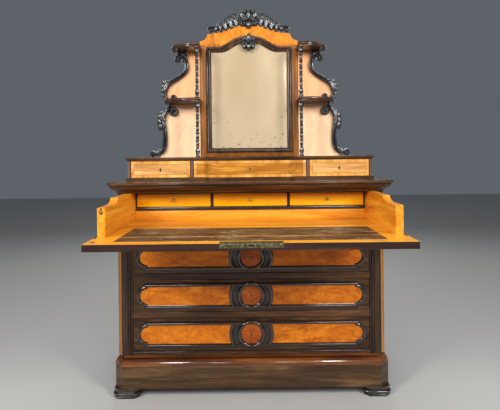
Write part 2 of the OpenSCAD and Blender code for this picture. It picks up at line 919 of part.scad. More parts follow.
feet();
plinth_boards();
plinth_moulding();
bottom_board();
side_panels();
corner_posts();
back_panel();
drawer_rails();
drawer_runners();
top_board();
cornice_moulding();
gradin_base();
gradin_top();
gradin_sides();
gradin_dividers();
gradin_back();
mirror_surround();
mirror_frame();
mirror_glass();
mirror_backboard();
crest_carving();
mirror_cartouche();
shelves_top();
shelves_middle();
etagere_panels();
scroll_brackets();
columns();
writing_bottom();
writing_side_left();
writing_side_right();
writing_case();
writing_back();
desk_leather();
desk_fittings();
catch_button();
flap_board();
flap_leather();
flap_lock();
flap_hinges();
small_drawer_left();
small_drawer_middle();
small_drawer_right();
small_knob_left();
small_knob_middle();
small_knob_right();
gradin_drawer_left();
gradin_drawer_middle();
gradin_drawer_right();
lower_front_1();
lower_front_2();
lower_front_3();
lower_box_1();
lower_box_2();
lower_box_3();
lower_panels_1();
lower_panels_2();
lower_panels_3();
lower_lock_1();
lower_lock_2();
lower_lock_3();
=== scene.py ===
import math

import bmesh
import bpy
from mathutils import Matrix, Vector


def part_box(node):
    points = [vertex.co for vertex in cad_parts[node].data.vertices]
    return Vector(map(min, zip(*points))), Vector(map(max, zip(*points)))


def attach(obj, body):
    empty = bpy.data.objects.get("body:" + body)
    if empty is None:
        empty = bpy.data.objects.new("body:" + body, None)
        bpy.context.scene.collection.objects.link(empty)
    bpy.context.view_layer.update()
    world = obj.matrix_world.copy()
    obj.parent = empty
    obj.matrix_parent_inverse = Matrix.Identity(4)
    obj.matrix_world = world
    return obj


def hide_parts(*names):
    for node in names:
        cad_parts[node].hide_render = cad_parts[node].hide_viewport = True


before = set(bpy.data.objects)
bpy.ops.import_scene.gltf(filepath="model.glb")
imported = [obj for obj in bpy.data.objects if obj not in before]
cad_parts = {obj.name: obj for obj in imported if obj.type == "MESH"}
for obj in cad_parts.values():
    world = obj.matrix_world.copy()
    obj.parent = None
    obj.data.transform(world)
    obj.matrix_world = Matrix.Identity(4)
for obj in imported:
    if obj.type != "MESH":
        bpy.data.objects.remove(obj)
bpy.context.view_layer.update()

# ---------------------------------------------------------------- frame sizes, in metres
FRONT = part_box("corner_posts")[0].y  # the carcass's front plane
HALF_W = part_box("side_panels")[1].x  # half the carcass's width
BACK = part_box("side_panels")[1].y
POST_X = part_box("lower_front_1")[1].x + 0.002  # inner face of a corner post


# ---------------------------------------------------------------- material helpers
class Shader:
    """A short way to build one node material."""

    def __init__(self, name):
        self.mat = bpy.data.materials.new(name)
        self.mat.use_nodes = True
        self.tree = self.mat.node_tree
        self.tree.nodes.clear()
        self.out = self.add("ShaderNodeOutputMaterial")
        self.bsdf = self.add("ShaderNodeBsdfPrincipled")
        self.link(self.bsdf.outputs[0], self.out.inputs[0])
        self.place = self.add("ShaderNodeTexCoord").outputs["Object"]

    def add(self, kind, **settings):
        node = self.tree.nodes.new(kind)
        for key, value in settings.items():
            setattr(node, key, value)
        return node

    def link(self, a, b):
        self.tree.links.new(a, b)

    def put(self, value, socket):
        """Links a socket, or sets a constant."""
        if isinstance(value, bpy.types.NodeSocket):
            self.link(value, socket)
        else:
            socket.default_value = value

    def paint(self, colour, socket):
        """Links a colour, or sets a constant one."""
        plain = not isinstance(colour, bpy.types.NodeSocket)
        self.put((*colour, 1) if plain else colour, socket)

    def scaled(self, scale, shift=(0, 0, 0)):
        node = self.add("ShaderNodeMapping")
        node.inputs["Scale"].default_value = scale
        node.inputs["Location"].default_value = shift
        self.link(self.place, node.inputs["Vector"])
        return node.outputs[0]

    def noise(self, where, scale=1.0, detail=4.0, rough=0.55, warp=0.0):
        node = self.add("ShaderNodeTexNoise")
        self.put(where, node.inputs["Vector"])
        node.inputs["Scale"].default_value = scale
        node.inputs["Detail"].default_value = detail
        node.inputs["Roughness"].default_value = rough
        node.inputs["Distortion"].default_value = warp
        return node.outputs["Fac"]

    def speckle(self, scale, detail, rough, shift=(0, 0, 0), warp=0.0):
        """Noise with its own scale along each axis."""
        return self.noise(self.scaled(scale, shift), 1.0, detail, rough, warp)

    def ramp(self, fac, *stops):
        node = self.add("ShaderNodeValToRGB")
        self.put(fac, node.inputs[0])
        band = node.color_ramp
        while len(band.elements) < len(stops):
            band.elements.new(0.5)
        for element, (place, colour) in zip(band.elements, stops):
            element.position = place
            element.color = (*colour, 1)
        return node.outputs[0]

    def span(self, fac, low, high, new_low=0.0, new_high=1.0):
        node = self.add("ShaderNodeMapRange")
        self.put(fac, node.inputs[0])
        for i, value in enumerate((low, high, new_low, new_high)):
            node.inputs[i + 1].default_value = value
        return node.outputs[0]

    def mix(self, fac, a, b):
        node = self.add("ShaderNodeMix", data_type="RGBA")
        self.put(fac, node.inputs[0])
        self.paint(a, node.inputs[6])
        self.paint(b, node.inputs[7])
        return node.outputs[2]

    def math(self, op, a, b=0.0):
        node = self.add("ShaderNodeMath", operation=op)
        self.put(a, node.inputs[0])
        self.put(b, node.inputs[1])
        return node.outputs[0]

    def blend(self, a, b, share):
        """The sum of a share of a and the rest of b."""
        first = self.math("MULTIPLY", a, share)
        return self.math("ADD", first, self.math("MULTIPLY", b, 1 - share))

    def axes(self, source=None):
        node = self.add("ShaderNodeSeparateXYZ")
        self.put(source or self.place, node.inputs[0])
        return node.outputs

    def join(self, x, y, z):
        node = self.add("ShaderNodeCombineXYZ")
        for value, socket in zip((x, y, z), node.inputs):
            self.put(value, socket)
        return node.outputs[0]

    def bump(self, height, strength, distance):
        node = self.add("ShaderNodeBump")
        node.inputs["Strength"].default_value = strength
        node.inputs["Distance"].default_value = distance
        self.put(height, node.inputs["Height"])
        self.link(node.outputs[0], self.bsdf.inputs["Normal"])

    def finish(self, colour, rough, coat=0.0, metal=0.0, coat_rough=0.12, specular=0.5):
        self.paint(colour, self.bsdf.inputs["Base Color"])
        self.put(rough, self.bsdf.inputs["Roughness"])
        for socket, value in (("Metallic", metal), ("Coat Weight", coat),
                              ("Coat Roughness", coat_rough), ("Specular IOR Level", specular)):
            self.bsdf.inputs[socket].default_value = value
        return self.mat


GRAIN = {"x": (1.0, 14.0, 14.0), "y": (14.0, 1.0, 14.0), "z": (14.0, 14.0, 1.0)}
FIBRE_FINENESS = 7  # against the streaks
PORE_FINENESS = 22


def wood(name, along, dark, middle, light, rough=0.36, coat=0.22, streak=1.0, size=1.0,
         shift=0.0, pores=0.5, blotch=0.35, stretch=1.0, specular=0.22):
    """Polished wood: long warped streaks, fine fibre, pores and slow patches of tone."""
    s = Shader(name)
    base = [k * size for k in GRAIN[along]]
    place = s.scaled(base, shift=(shift, shift * 0.7, shift * 1.3))
    flow = s.noise(place, 1.6 * streak, 5, 0.6, warp=0.9 * stretch)
    fibre = s.noise(s.scaled([k * FIBRE_FINENESS for k in base]), 3.0, 3, 0.6)
    patch = s.noise(s.scaled((3, 3, 3), shift=(shift, 0, shift)), 1.3, 2, 0.5)
    colour = s.ramp(s.blend(flow, fibre, 0.78), (0.36, dark), (0.5, middle), (0.64, light))
    colour = s.mix(s.span(patch, 0.35, 0.7, 0.0, blotch), colour, dark)
    pore = s.noise(s.scaled([k * PORE_FINENESS for k in base]), 3.0, 2, 0.5)
    colour = s.mix(s.span(pore, 0.6, 0.75, 0.0, pores), colour, [k * 0.35 for k in dark])
    s.bump(s.math("ADD", s.math("MULTIPLY", fibre, 0.5), pore), 0.10, 0.0006)
    return s.finish(colour, s.span(patch, 0.3, 0.7, rough - 0.06, rough + 0.1), coat,
                    coat_rough=0.07, specular=specular)


ROSE = dict(dark=(0.016, 0.006, 0.002), middle=(0.058, 0.021, 0.006), light=(0.15, 0.060, 0.017))
GOLD = dict(dark=(0.50, 0.150, 0.008), middle=(0.76, 0.280, 0.018), light=(0.92, 0.42, 0.04),
            size=0.8, pores=0.12, blotch=0.2)
PINE = dict(dark=(0.26, 0.13, 0.05), middle=(0.38, 0.21, 0.09), light=(0.5, 0.31, 0.15),
            rough=0.6, coat=0.0, pores=0.2)

rose_x, rose_y = [wood("rosewood_along_" + axis, axis, **ROSE) for axis in "xy"]
gold_x, gold_y = [wood("satinwood_along_" + axis, axis, **GOLD) for axis in "xy"]
pine_x, pine_y, pine_z = [wood("pine_along_" + axis, axis, **PINE) for axis in "xyz"]
rose_z = wood("rosewood_along_z", "z", dark=(0.009, 0.004, 0.002), middle=(0.034, 0.014, 0.005),
              light=(0.095, 0.040, 0.013), coat=0.4)


def ebony():
    """Black polish over carving, a little clouded, with a deep gloss."""
    s = Shader("ebonised")
    cloud = s.speckle((60, 60, 60), 4, 0.6)
    colour = s.ramp(cloud, (0.3, (0.005, 0.005, 0.006)), (0.75, (0.020, 0.019, 0.020)))
    s.bump(s.speckle((300, 300, 300), 3, 0.6), 0.06, 0.0008)
    return s.finish(colour, s.span(cloud, 0.3, 0.7, 0.24, 0.36), coat=1.0, coat_rough=0.10)


def metal(name, dark, light, rough):
    """Dull old metal with spots of tarnish and fine rubbing."""
    s = Shader(name)
    cloud = s.speckle((90, 90, 90), 5, 0.65)
    colour = s.ramp(cloud, (0.35, dark), (0.65, light))
    s.bump(s.speckle((500, 900, 500), 2, 0.6), 0.08, 0.0005)
    return s.finish(colour, s.span(cloud, 0.3, 0.7, rough + 0.12, rough - 0.05), metal=1.0)


black = ebony()
brass = metal("old_brass", (0.20, 0.13, 0.05), (0.52, 0.38, 0.16), 0.36)

moulding_black = wood("rosewood_mouldings", "x", dark=(0.004, 0.002, 0.001),
                      middle=(0.014, 0.006, 0.003), light=(0.045, 0.019, 0.008), rough=0.2,
                      coat=1.0, specular=0.5, shift=7.0)
rose_gloss = wood("rosewood_glossy", "x", **ROSE, rough=0.24, coat=1.0, specular=0.4)
rose_plinth = wood("rosewood_plinth", "x", dark=(0.026, 0.012, 0.004), middle=(0.070, 0.034, 0.012),
                   light=(0.17, 0.088, 0.034), streak=1.3, blotch=0.45, shift=2.0)
rose_lit = wood("rosewood_red", "x", dark=(0.05, 0.014, 0.004), middle=(0.14, 0.042, 0.010),
                light=(0.30, 0.105, 0.025), rough=0.24, coat=0.6, blotch=0.5, shift=4.0)
veneer_z = wood("veneer_strip_z", "z", dark=(0.13, 0.045, 0.005), middle=(0.30, 0.11, 0.012),
                light=(0.46, 0.19, 0.025), size=0.8, pores=0.2, blotch=0.2)

KEPT = {
    "side_panels": rose_z, "bottom_board": pine_x, "drawer_rails": rose_x,
    "drawer_runners": pine_x, "top_board": rose_gloss, "gradin_base": rose_gloss,
    "gradin_top": rose_gloss, "gradin_sides": rose_y, "gradin_dividers": rose_z,
    "gradin_back": pine_x, "mirror_backboard": pine_z, "writing_bottom": gold_x,
    "writing_side_left": gold_y, "writing_side_right": gold_y, "writing_back": pine_x,
    "desk_fittings": brass, "catch_button": brass, "flap_hinges": brass,
}
for name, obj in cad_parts.items():
    obj.data.materials.clear()
    obj.data.materials.append(KEPT.get(name, black))


def figured(name, origin, dark, middle, light, fleck=1.0):
    """Veneer with fine slanted flecks that change side in broad bands, mirrored left to right."""
    s = Shader(name)
    x, _, z = s.axes()
    across = s.math("ABSOLUTE", x)
    band = s.noise(s.join(across, 0.0, s.math("MULTIPLY", z, 0.6)), 9.0, 1, 0.4)
    side = s.span(band, 0.46, 0.54, -1.0, 1.0)
    slant = s.math("ADD", s.math("MULTIPLY", z, 330.0),
                   s.math("MULTIPLY", s.math("MULTIPLY", across, side), 300.0))
    fleck_noise = s.noise(s.join(slant, s.math("MULTIPLY", x, 40.0),
                                 s.math("MULTIPLY", z, 60.0)), 1.0, 3, 0.65, warp=0.4)
    cloud = s.speckle((10, 10, 26), 3, 0.55, origin, 1.2)
    colour = s.ramp(s.blend(fleck_noise, cloud, 0.55 * fleck), (0.34, dark), (0.5, middle), (0.66, light))
    s.bump(fleck_noise, 0.05, 0.0005)
    return s.finish(colour, s.span(cloud, 0.3, 0.7, 0.30, 0.42), 0.16, specular=0.15)


panel_wood = [figured("figured_veneer_%d" % k, (k * 1.7, 0, k * 0.9), dark=(0.22, 0.042, 0.002),
                      middle=(0.52, 0.125, 0.004), light=(0.78, 0.27, 0.014)) for k in range(3)]
disc_wood = figured("disc_veneer", (5, 0, 2), dark=(0.16, 0.030, 0.004),
                    middle=(0.34, 0.070, 0.007), light=(0.52, 0.13, 0.015), fleck=0.6)
burr = wood("rosewood_burr", "x", dark=(0.018, 0.007, 0.002), middle=(0.055, 0.023, 0.007),
            light=(0.13, 0.062, 0.018), size=0.8, streak=2.2, stretch=2.5, shift=9.0, blotch=0.5)
# Dark iron, also laid in keyholes, slots and the peg hole as painted shade for the openings.
dark_iron_and_hole_shade = metal("aged_iron_and_painted_hole_shade", (0.01, 0.01, 0.01), (0.04, 0.035, 0.03), 0.5)


# ---------------------------------------------------------------- geometry helpers
class Shape:
    """Collects points and faces of one piece; each face keeps the number of its material."""

    def __init__(self):
        self.points = []
        self.faces = []
        self.marks = []

    def add(self, points, faces, mark=0):
        start = len(self.points)
        self.points += [tuple(p) for p in points]
        self.faces += [tuple(start + k for k in face) for face in faces]
        self.marks += [mark] * len(faces)

    def loft(self, rings, round_path=False, caps=True, mark=0, marks=None):
        """Skins a row of closed rings; marks gives a material number for each ring edge."""
        n = len(rings[0])
        start = len(self.points)
        self.points += [tuple(p) for ring in rings for p in ring]
        for i in range(len(rings) if round_path else len(rings) - 1):
            a = start + i * n
            b = start + (i + 1) % len(rings) * n
            for k in range(n):
                m = (k + 1) % n
                self.faces.append((a + k, a + m, b + m, b + k))
                self.marks.append(marks[k] if marks else mark)
        if caps and not round_path:
            for a in (start, start + (len(rings) - 1) * n):
                self.faces.append(tuple(range(a, a + n)))
                self.marks.append(mark)

    def board(self, low, high, mark=0, round_by=0.0015):
        """A board with its twelve edges eased."""
        (x0, y0, z0), (x1, y1, z1) = low, high
        r = min(round_by, (x1 - x0) / 2.5, (y1 - y0) / 2.5, (z1 - z0) / 2.5)
        rings = []
        for z, inset in ((z0, r), (z0 + r * 0.3, r * 0.3), (z0 + r, 0), (z1 - r, 0),
                         (z1 - r * 0.3, r * 0.3), (z1, r)):
            a, b, c, d = x0 + inset, x1 - inset, y0 + inset, y1 - inset
            rings.append([(a + r, c, z), (b - r, c, z), (b, c + r, z), (b, d - r, z),
                          (b - r, d, z), (a + r, d, z), (a, d - r, z), (a, c + r, z)])
        self.loft(rings, mark=mark)

    def mirror_x(self):
        """Adds the mirror image across X = 0."""
        n = len(self.points)
        self.points += [(-x, y, z) for x, y, z in self.points]
        self.faces += [tuple(n + k for k in reversed(face)) for face in self.faces]
        self.marks += list(self.marks)

    def build(self, name, mats, body, slot, nodes=(), angle=32, bevel=0.0):
        mesh = bpy.data.meshes.new(name)
        mesh.from_pydata(self.points, [], self.faces)
        for mat in mats if isinstance(mats, (list, tuple)) else [mats]:
            mesh.materials.append(mat)
        for polygon, mark in zip(mesh.polygons, self.marks):
            polygon.material_index = mark
        work = bmesh.new()
        work.from_mesh(mesh)
        bmesh.ops.remove_doubles(work, verts=work.verts, dist=1e-6)
        bmesh.ops.recalc_face_normals(work, faces=work.faces)
        work.to_mesh(mesh)
        work.free()
        mesh.shade_smooth()
        mesh.set_sharp_from_angle(angle=math.radians(angle))
        obj = bpy.data.objects.new(name, mesh)
        bpy.context.scene.collection.objects.link(obj)
        if bevel:
            soften(obj, bevel)
        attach(obj, body)
        if nodes:
            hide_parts(*nodes)
        return obj


def soften(obj, width):
    """Eased edges on an object, by a bevel modifier."""
    mod = obj.modifiers.new("eased_edges", "BEVEL")
    mod.width = width
    mod.segments = 2
    mod.limit_method = "ANGLE"
    mod.angle_limit = math.radians(40)
    mod.harden_normals = False


def arc(cx, cy, r, start, end, steps, ry=None):
    """Points on an arc between two angles in degrees."""
    ry = r if ry is None else ry
    turns = [math.radians(start + (end - start) * k / steps) for k in range(steps + 1)]
    return [(cx + r * math.cos(t), cy + ry * math.sin(t)) for t in turns]


def smooth(t):
    return (1 - math.cos(math.pi * max(0.0, min(1.0, t)))) / 2


def bezier(a, b, c, d, steps):
    """Points on a cubic curve."""
    out = []
    for k in range(steps + 1):
        t = k / steps
        u = 1 - t
        w = (u ** 3, 3 * u * u * t, 3 * u * t * t, t ** 3)
        out.append(tuple(sum(wi * p[j] for wi, p in zip(w, (a, b, c, d)))
                         for j in range(len(a))))
    return out


def mitres(path, closed):
    """The outward offset at each point of a 2-D path; outward is right of travel."""
    n = len(path)
    sides = []
    for k in range(n if closed else n - 1):
        d = Vector(path[(k + 1) % n]) - Vector(path[k])
        d.normalize()
        sides.append(Vector((d.y, -d.x)))
    out = []
    for k in range(n):
        before = sides[k - 1] if closed or k > 0 else sides[0]
        after = sides[k] if k < len(sides) else sides[-1]
        out.append((before + after) / max(0.35, 1 + before.dot(after)))
    return out


def run_moulding(shape, path, profile, place, closed=False):
    """Sweeps a closed profile of (out, up) along a 2-D path with mitred corners."""
    rings = []
    for p, side in zip(path, mitres(path, closed)):
        rings.append([place(p[0] + side.x * out, p[1] + side.y * out, up)
                      for out, up in profile])
    shape.loft(rings, round_path=closed)


def on_plan(x, y, up):
    return (x, y, up)


def on_face(face_y):
    """Places a moulding on an upright face that looks to the front."""
    return lambda x, z, up: (x, face_y - up, z)


def lathe(shape, centre, profile, steps=24, axis="z", mark=0, swell=None):
    """Turns a profile of (radius, along) round an axis."""
    cx, cy, cz = centre
    rings = []
    for r, along in profile:
        ring = []
        for k in range(steps):
            t = 2 * math.pi * k / steps
            q = r * (swell(t, along) if swell else 1.0)
            u, v = q * math.cos(t), q * math.sin(t)
            ring.append((cx + u, cy + v, cz + along) if axis == "z"
                        else (cx + u, cy - along, cz + v))
        rings.append(ring)
    shape.loft(rings, mark=mark)


# ---------------------------------------------------------------- feet, plinth and carcass
def depth(d):
    """Y of a plane that lies d behind the carcass's front plane."""
    return FRONT + d


PLINTH_LOW, PLINTH_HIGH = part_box("plinth_boards")
PLINTH_CANT = 0.041
CANT = 0.019
CARCASS_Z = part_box("corner_posts")[0].z
CORNICE_LOW, CORNICE_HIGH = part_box("cornice_moulding")
CLEAR = 0.0004  # keeps a moulding's hidden faces off the boards behind them


def canted_path(half, front, cut):
    """Plan line round the left side, the front and the right side."""
    end = BACK - CLEAR
    return [(-half, end), (-half, front + cut), (-half + cut, front),
            (half - cut, front), (half, front + cut), (half, end)]


def make_feet():
    shape = Shape()
    half = 0.055
    cut = 0.020
    height = PLINTH_LOW.z
    profile = ([(-0.002, 0.0), (0.0015, 0.0015), (0.0015, 0.008), (-0.0015, 0.0095)]
               + arc(-0.003, 0.0185, 0.008, -75, 75, 8)
               + [(-0.0025, 0.0285), (-0.0025, 0.030), (0.001, 0.0315), (0.001, height)])
    for side in (-1, 1):
        for cy in (PLINTH_LOW.y + half, BACK - half - 0.005):
            cx = side * (PLINTH_HIGH.x - half - 0.001)
            rings = []
            for out, z in profile:
                h = half + out
                corners = ((h, cut - h), (h, h - cut), (h - cut, h), (cut - h, h),
                           (-h, h - cut), (-h, cut - h), (cut - h, -h), (h - cut, -h))
                rings.append([(cx + x, cy + y, z) for x, y in corners])
            shape.loft(rings)
    shape.build("block_feet", moulding_black, "case", "rosewood", ["feet"], angle=25, bevel=0.0012)


def make_plinth():
    shape = Shape()
    thick = 0.025
    front_x = PLINTH_HIGH.x - PLINTH_CANT
    y0 = PLINTH_LOW.y
    z0, z1 = PLINTH_LOW.z, PLINTH_HIGH.z
    shape.board((-front_x, y0, z0), (front_x, y0 + thick, z1), round_by=0.001)
    for side in (-1, 1):
        plan = [(front_x, y0), (PLINTH_HIGH.x, y0 + PLINTH_CANT),
                (PLINTH_HIGH.x - thick, y0 + PLINTH_CANT + 0.01), (front_x - 0.01, y0 + thick)]
        shape.loft([[(side * x, y, z) for x, y in plan] for z in (z0, z1)])
        x0, x1 = sorted((side * (PLINTH_HIGH.x - thick), side * PLINTH_HIGH.x))
        shape.board((x0, y0 + PLINTH_CANT, z0), (x1, BACK, z1), 1, 0.001)
    shape.build("plinth", (rose_plinth, rose_y), "case", "rosewood", ["plinth_boards"])

    shape = Shape()
    r = 0.020
    lip = 0.0015
    profile = ([(-0.045, z1), (lip, z1), (lip, z1 + 0.003)]
               + arc(-r, z1 + 0.0035, r, 0, 78, 9)
               + arc(-0.031, z1 + 0.0345, 0.0135, -70, -20, 4)
               + [(-0.031, CARCASS_Z - CLEAR), (-0.045, CARCASS_Z - CLEAR)])
    profile = [p for p in profile if p[1] <= CARCASS_Z - CLEAR / 2]
    run_moulding(shape, canted_path(PLINTH_HIGH.x, y0, PLINTH_CANT), profile, on_plan)
    shape.build("plinth_roll", rose_lit, "case", "rosewood", ["plinth_moulding"], angle=50)


def post_plan():
    """Plan line of a right-hand corner post, as (x, depth), with a material for each edge."""
    outer = HALF_W
    back = 0.045
    veneer_in = 0.0016
    points = [(outer, back), (outer, CANT)]
    marks = [0, 0]
    points += [(outer - veneer_in, CANT - veneer_in), (outer - CANT + veneer_in, veneer_in)]
    marks += [1, 0]
    face = [(outer - CANT, 0), (outer - 0.0215, 0), (outer - 0.0225, 0.0016),
            (outer - 0.0235, 0), (outer - 0.046, 0), (outer - 0.047, 0.003),
            (outer - 0.049, 0.003)]
    face += arc(outer - 0.0535, 0.0015, 0.0040, 0, -180, 6)
    face += [(outer - 0.0585, 0.003), (outer - 0.060, 0.003)]
    face += arc(outer - 0.0635, 0.0015, 0.0028, 0, -180, 5)
    face += [(POST_X - 0.0002, 0.002), (POST_X - 0.0002, back)]
    points += face
    marks += [0] * len(face)
    return points, marks


def make_posts():
    shape = Shape()
    z0, z1 = CARCASS_Z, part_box("corner_posts")[1].z
    plan, marks = post_plan()
    shape.loft([[(x, depth(d), z) for x, d in plan] for z in (z0, z1)], marks=marks)
    shape.mirror_x()
    shape.build("moulded_posts", (rose_z, veneer_z), "case", "rosewood", ["corner_posts"],
                angle=40)


def make_cornice():
    shape = Shape()
    z0, z1 = CORNICE_LOW.z, CORNICE_HIGH.z
    inner = -0.021
    board_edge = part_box("top_board")[1].x - HALF_W
    out = CORNICE_HIGH.x - HALF_W
    ogee = [(0.008 + 0.021 * smooth(k / 10), z0 + 0.004 + 0.0165 * k / 10) for k in range(11)]
    nose = arc(out - 0.006, z0 + 0.0405, 0.006, 0, 80, 5, ry=0.005)
    profile = ([(inner, z0), (0.006, z0), (0.006, z0 + 0.004)] + ogee
               + [(0.031, z0 + 0.0215), (0.031, z0 + 0.0245)]
               + arc(0.0315, z0 + 0.0280, 0.0038, -90, 60, 6)
               + [(out - 0.0075, z0 + 0.0325), (out - 0.0015, z0 + 0.0340), (out, z0 + 0.0360)]
               + nose + [(out - 0.0085, z1), (board_edge, z1), (board_edge, z1 - CLEAR),
                         (inner, z1 - CLEAR)])
    path = canted_path(HALF_W, FRONT + 0.004, CANT)
    run_moulding(shape, path, profile, on_plan)
    shape.build("cornice", rose_x, "case", "rosewood", ["cornice_moulding"], angle=50)


def make_rail_bead():
    """The small bead that runs along the bottom rail."""
    shape = Shape()
    z = CARCASS_Z + 0.0148
    half = POST_X - 0.001
    profile = arc(0, 0, 0.0036, 90, 270, 8)
    rings = [[(x, depth(0.0002) + p[0] * 1.3, z + p[1]) for p in profile] for x in (-half, half)]
    shape.loft(rings)
    shape.build("rail_bead", moulding_black, "case", "rosewood", angle=60)


def make_back():
    """Framed back with recessed panels, all of plain pine."""
    shape = Shape()
    low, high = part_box("back_panel")
    stile = 0.085
    mid = (high.z + low.z) / 2
    for x0, x1 in ((low.x, low.x + stile), (-stile / 2, stile / 2), (high.x - stile, high.x)):
        shape.board((x0, low.y, low.z), (x1, high.y, high.z), 1, 0.002)
    for z0, z1 in ((low.z, low.z + stile), (mid - stile / 2, mid + stile / 2),
                   (high.z - stile, high.z)):
        for x0, x1 in ((low.x + stile, -stile / 2), (stile / 2, high.x - stile)):
            shape.board((x0, low.y, z0), (x1, high.y, z1), 0, 0.002)
    for x0, x1 in ((low.x + stile, -stile / 2), (stile / 2, high.x - stile)):
        for z0, z1 in ((low.z + stile, mid - stile / 2), (mid + stile / 2, high.z - stile)):
            shape.board((x0, low.y, z0), (x1, high.y - 0.006, z1), 0, 0.0005)
    shape.build("framed_back", (pine_x, pine_z), "case", "pine", ["back_panel"])


make_feet()
make_plinth()
make_posts()
make_cornice()
make_rail_bead()
make_back()


# ---------------------------------------------------------------- lower drawers
PANEL_H = 0.0405  # half height of a veneered panel
PANEL_END = 0.455  # centre of a panel's round end
END_R = 0.0322
RING_R = 0.098
DISC_R = 0.045


def bead_profile(width, height):
    """Closed section of an applied moulding, from its inner edge outwards."""
    half = (width - 0.0035) / 2
    return ([(0, -0.0005), (0, 0.0032), (0.0010, 0.0036)]
            + arc(0.0012 + half, 0.0034, half, 172, 8, 9, ry=height - 0.0034)
            + [(width - 0.0018, 0.0030), (width, 0.0026), (width, -0.0005)])


def keyhole(shape, x, y, z, size, rim=0):
    """A keyhole with a thin lining; the opening itself is material 1, a dark plate painted as the shade
    in the hole.
    """
    for grow, up, mark in ((1.45, 0.0006, rim), (1.0, 0.0009, 1)):
        r = size * 0.42 * grow
        outline = arc(0, size * 0.35, r, -60, 240, 14)
        outline += [(-r * 0.62, -size * 0.9 * grow), (r * 0.62, -size * 0.9 * grow)]
        shape.loft([[(x + a, y, z + b) for a, b in outline],
                    [(x + a, y - up, z + b) for a, b in outline]], mark=mark)


def drawer_front_shape(z0, z1):
    """Rosewood front: board, panel mouldings and the rings round its middle."""
    shape = Shape()
    face = depth(0)
    low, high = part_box("lower_front_1")
    mid = (z0 + z1) / 2
    shape.board((low.x, face, z0), (high.x, depth(0.022), z1), 1, 0.0012)
    section = bead_profile(0.0168, 0.0106)
    place = on_face(face)
    for side in (-1, 1):
        shape.loft([[(sign * (PANEL_END + out * 1.08), face - up, mid + side * (PANEL_H + out))
                     for out, up in section] for sign in (-1, 1)])
    half_ring = Shape()
    lines = [(arc(PANEL_END + 0.002, 0, END_R, -88, 88, 20), bead_profile(0.0150, 0.0082))]
    for r, beyond, bead in ((RING_R, 0.008, section), (0.0812, 0.006, bead_profile(0.0080, 0.0062)),
                            (0.0722, 0.006, bead_profile(0.0105, 0.0078))):
        turn = math.degrees(math.asin((PANEL_H + beyond) / r))
        lines.append((arc(0, 0, r, turn, -turn, 14), bead))
    for line, bead in lines:
        run_moulding(half_ring, [(x, mid + z) for x, z in line], bead, place)
    half_ring.mirror_x()
    shape.add(half_ring.points, half_ring.faces)
    ring = [(0.0, -0.0005), (0, 0.0050)] + arc(0.0082, 0.005, 0.0072, 175, 5, 9, ry=0.0072) \
        + [(0.0165, 0.0035), (0.0165, -0.0005)]
    run_moulding(shape, [(x, mid + z) for x, z in arc(0, 0, DISC_R, 0, 350, 35)], ring, place,
                 closed=True)
    return shape


def panel_shape(z0, z1):
    """The two veneered panels and the disc between them, a little proud of the board."""
    shape = Shape()
    face = depth(-0.0026)
    mid = (z0 + z1) / 2
    turn = math.degrees(math.asin(PANEL_H / RING_R))
    outline = (arc(0, 0, RING_R, turn, -turn, 14) + [(PANEL_END, -PANEL_H)]
               + arc(PANEL_END, 0, END_R, -90, 90, 20) + [(PANEL_END, PANEL_H)])
    shape.loft([[(x, y, mid + z) for x, z in outline] for y in (depth(0), face)])
    shape.mirror_x()
    lathe(shape, (0, depth(0), mid), [(DISC_R + 0.0005, 0), (DISC_R + 0.0005, 0.0026),
                                      (DISC_R - 0.003, 0.0034), (0.020, 0.0040),
                                      (0.0008, 0.0041)], 40, "y", mark=1)
    return shape


def drawer_box(shape, low, high, thick, mark=0):
    """Two sides, a back and a bottom; the front closes the box."""
    (x0, y0, z0), (x1, y1, z1) = low, high
    gap = 0.0002
    left, right = x0 + thick + gap, x1 - thick - gap
    shape.board((x0, y0, z0), (x0 + thick, y1, z1), mark)
    shape.board((x1 - thick, y0, z0), (x1, y1, z1), mark)
    shape.board((left, y1 - thick, z0), (right, y1, z1), mark + 1)
    shape.board((left, y0, z0), (right, y1 - thick - gap, z0 + thick / 2), mark + 1)


def make_lower_drawers():
    for k in (1, 2, 3):
        body = "lower_drawer_%d" % k
        low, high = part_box("lower_front_%d" % k)
        shape = drawer_front_shape(low.z, high.z)
        shape.build("drawer_front_%d" % k, (moulding_black, burr), body, "rosewood",
                    ["lower_front_%d" % k], angle=38)
        panels = panel_shape(low.z, high.z)
        panels.build("drawer_panels_%d" % k, (panel_wood[k - 1], disc_wood), body,
                     "figured_veneer", ["lower_panels_%d" % k], angle=30)
        inside = Shape()
        drawer_box(inside, *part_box("lower_box_%d" % k), 0.012)
        inside.build("drawer_box_%d" % k, (pine_y, pine_x), body, "pine",
                     ["lower_box_%d" % k])
        lock = Shape()
        mid = (low.z + high.z) / 2
        keyhole(lock, 0, depth(-0.0040), mid, 0.0085)
        lock.board((-0.035, depth(0.0223), mid - 0.028), (0.035, depth(0.034), mid + 0.028))
        lock.build("drawer_lock_%d" % k, (brass, dark_iron_and_hole_shade), body, "brass",
                   ["lower_lock_%d" % k])


make_lower_drawers()


# ---------------------------------------------------------------- writing drawer
def flap_wood():
    """Rosewood edges and outer face; light veneer where the board's own face looks up."""
    s = Shader("flap_veneer")
    own = s.add("ShaderNodeTexCoord").outputs["Normal"]
    inner = s.span(s.axes(own)[2], 0.35, 0.6, 0, 1)
    streak = s.speckle((3, 60, 60), 4, 0.6, warp=0.3)
    light = s.ramp(streak, (0.3, (0.62, 0.20, 0.010)), (0.5, (0.86, 0.34, 0.022)),
                   (0.75, (0.95, 0.48, 0.05)))
    stain = s.speckle((7, 7, 7), 3, 0.6, (3, 1, 0))
    worn = s.mix(s.span(stain, 0.58, 0.72, 0, 0.6), light, (0.16, 0.06, 0.02))
    dark = s.ramp(streak, (0.3, (0.014, 0.006, 0.005)), (0.6, (0.036, 0.016, 0.012)),
                  (0.8, (0.075, 0.034, 0.024)))
    s.bump(streak, 0.05, 0.0005)
    return s.finish(s.mix(inner, dark, worn), 0.34, 0.2, specular=0.25)


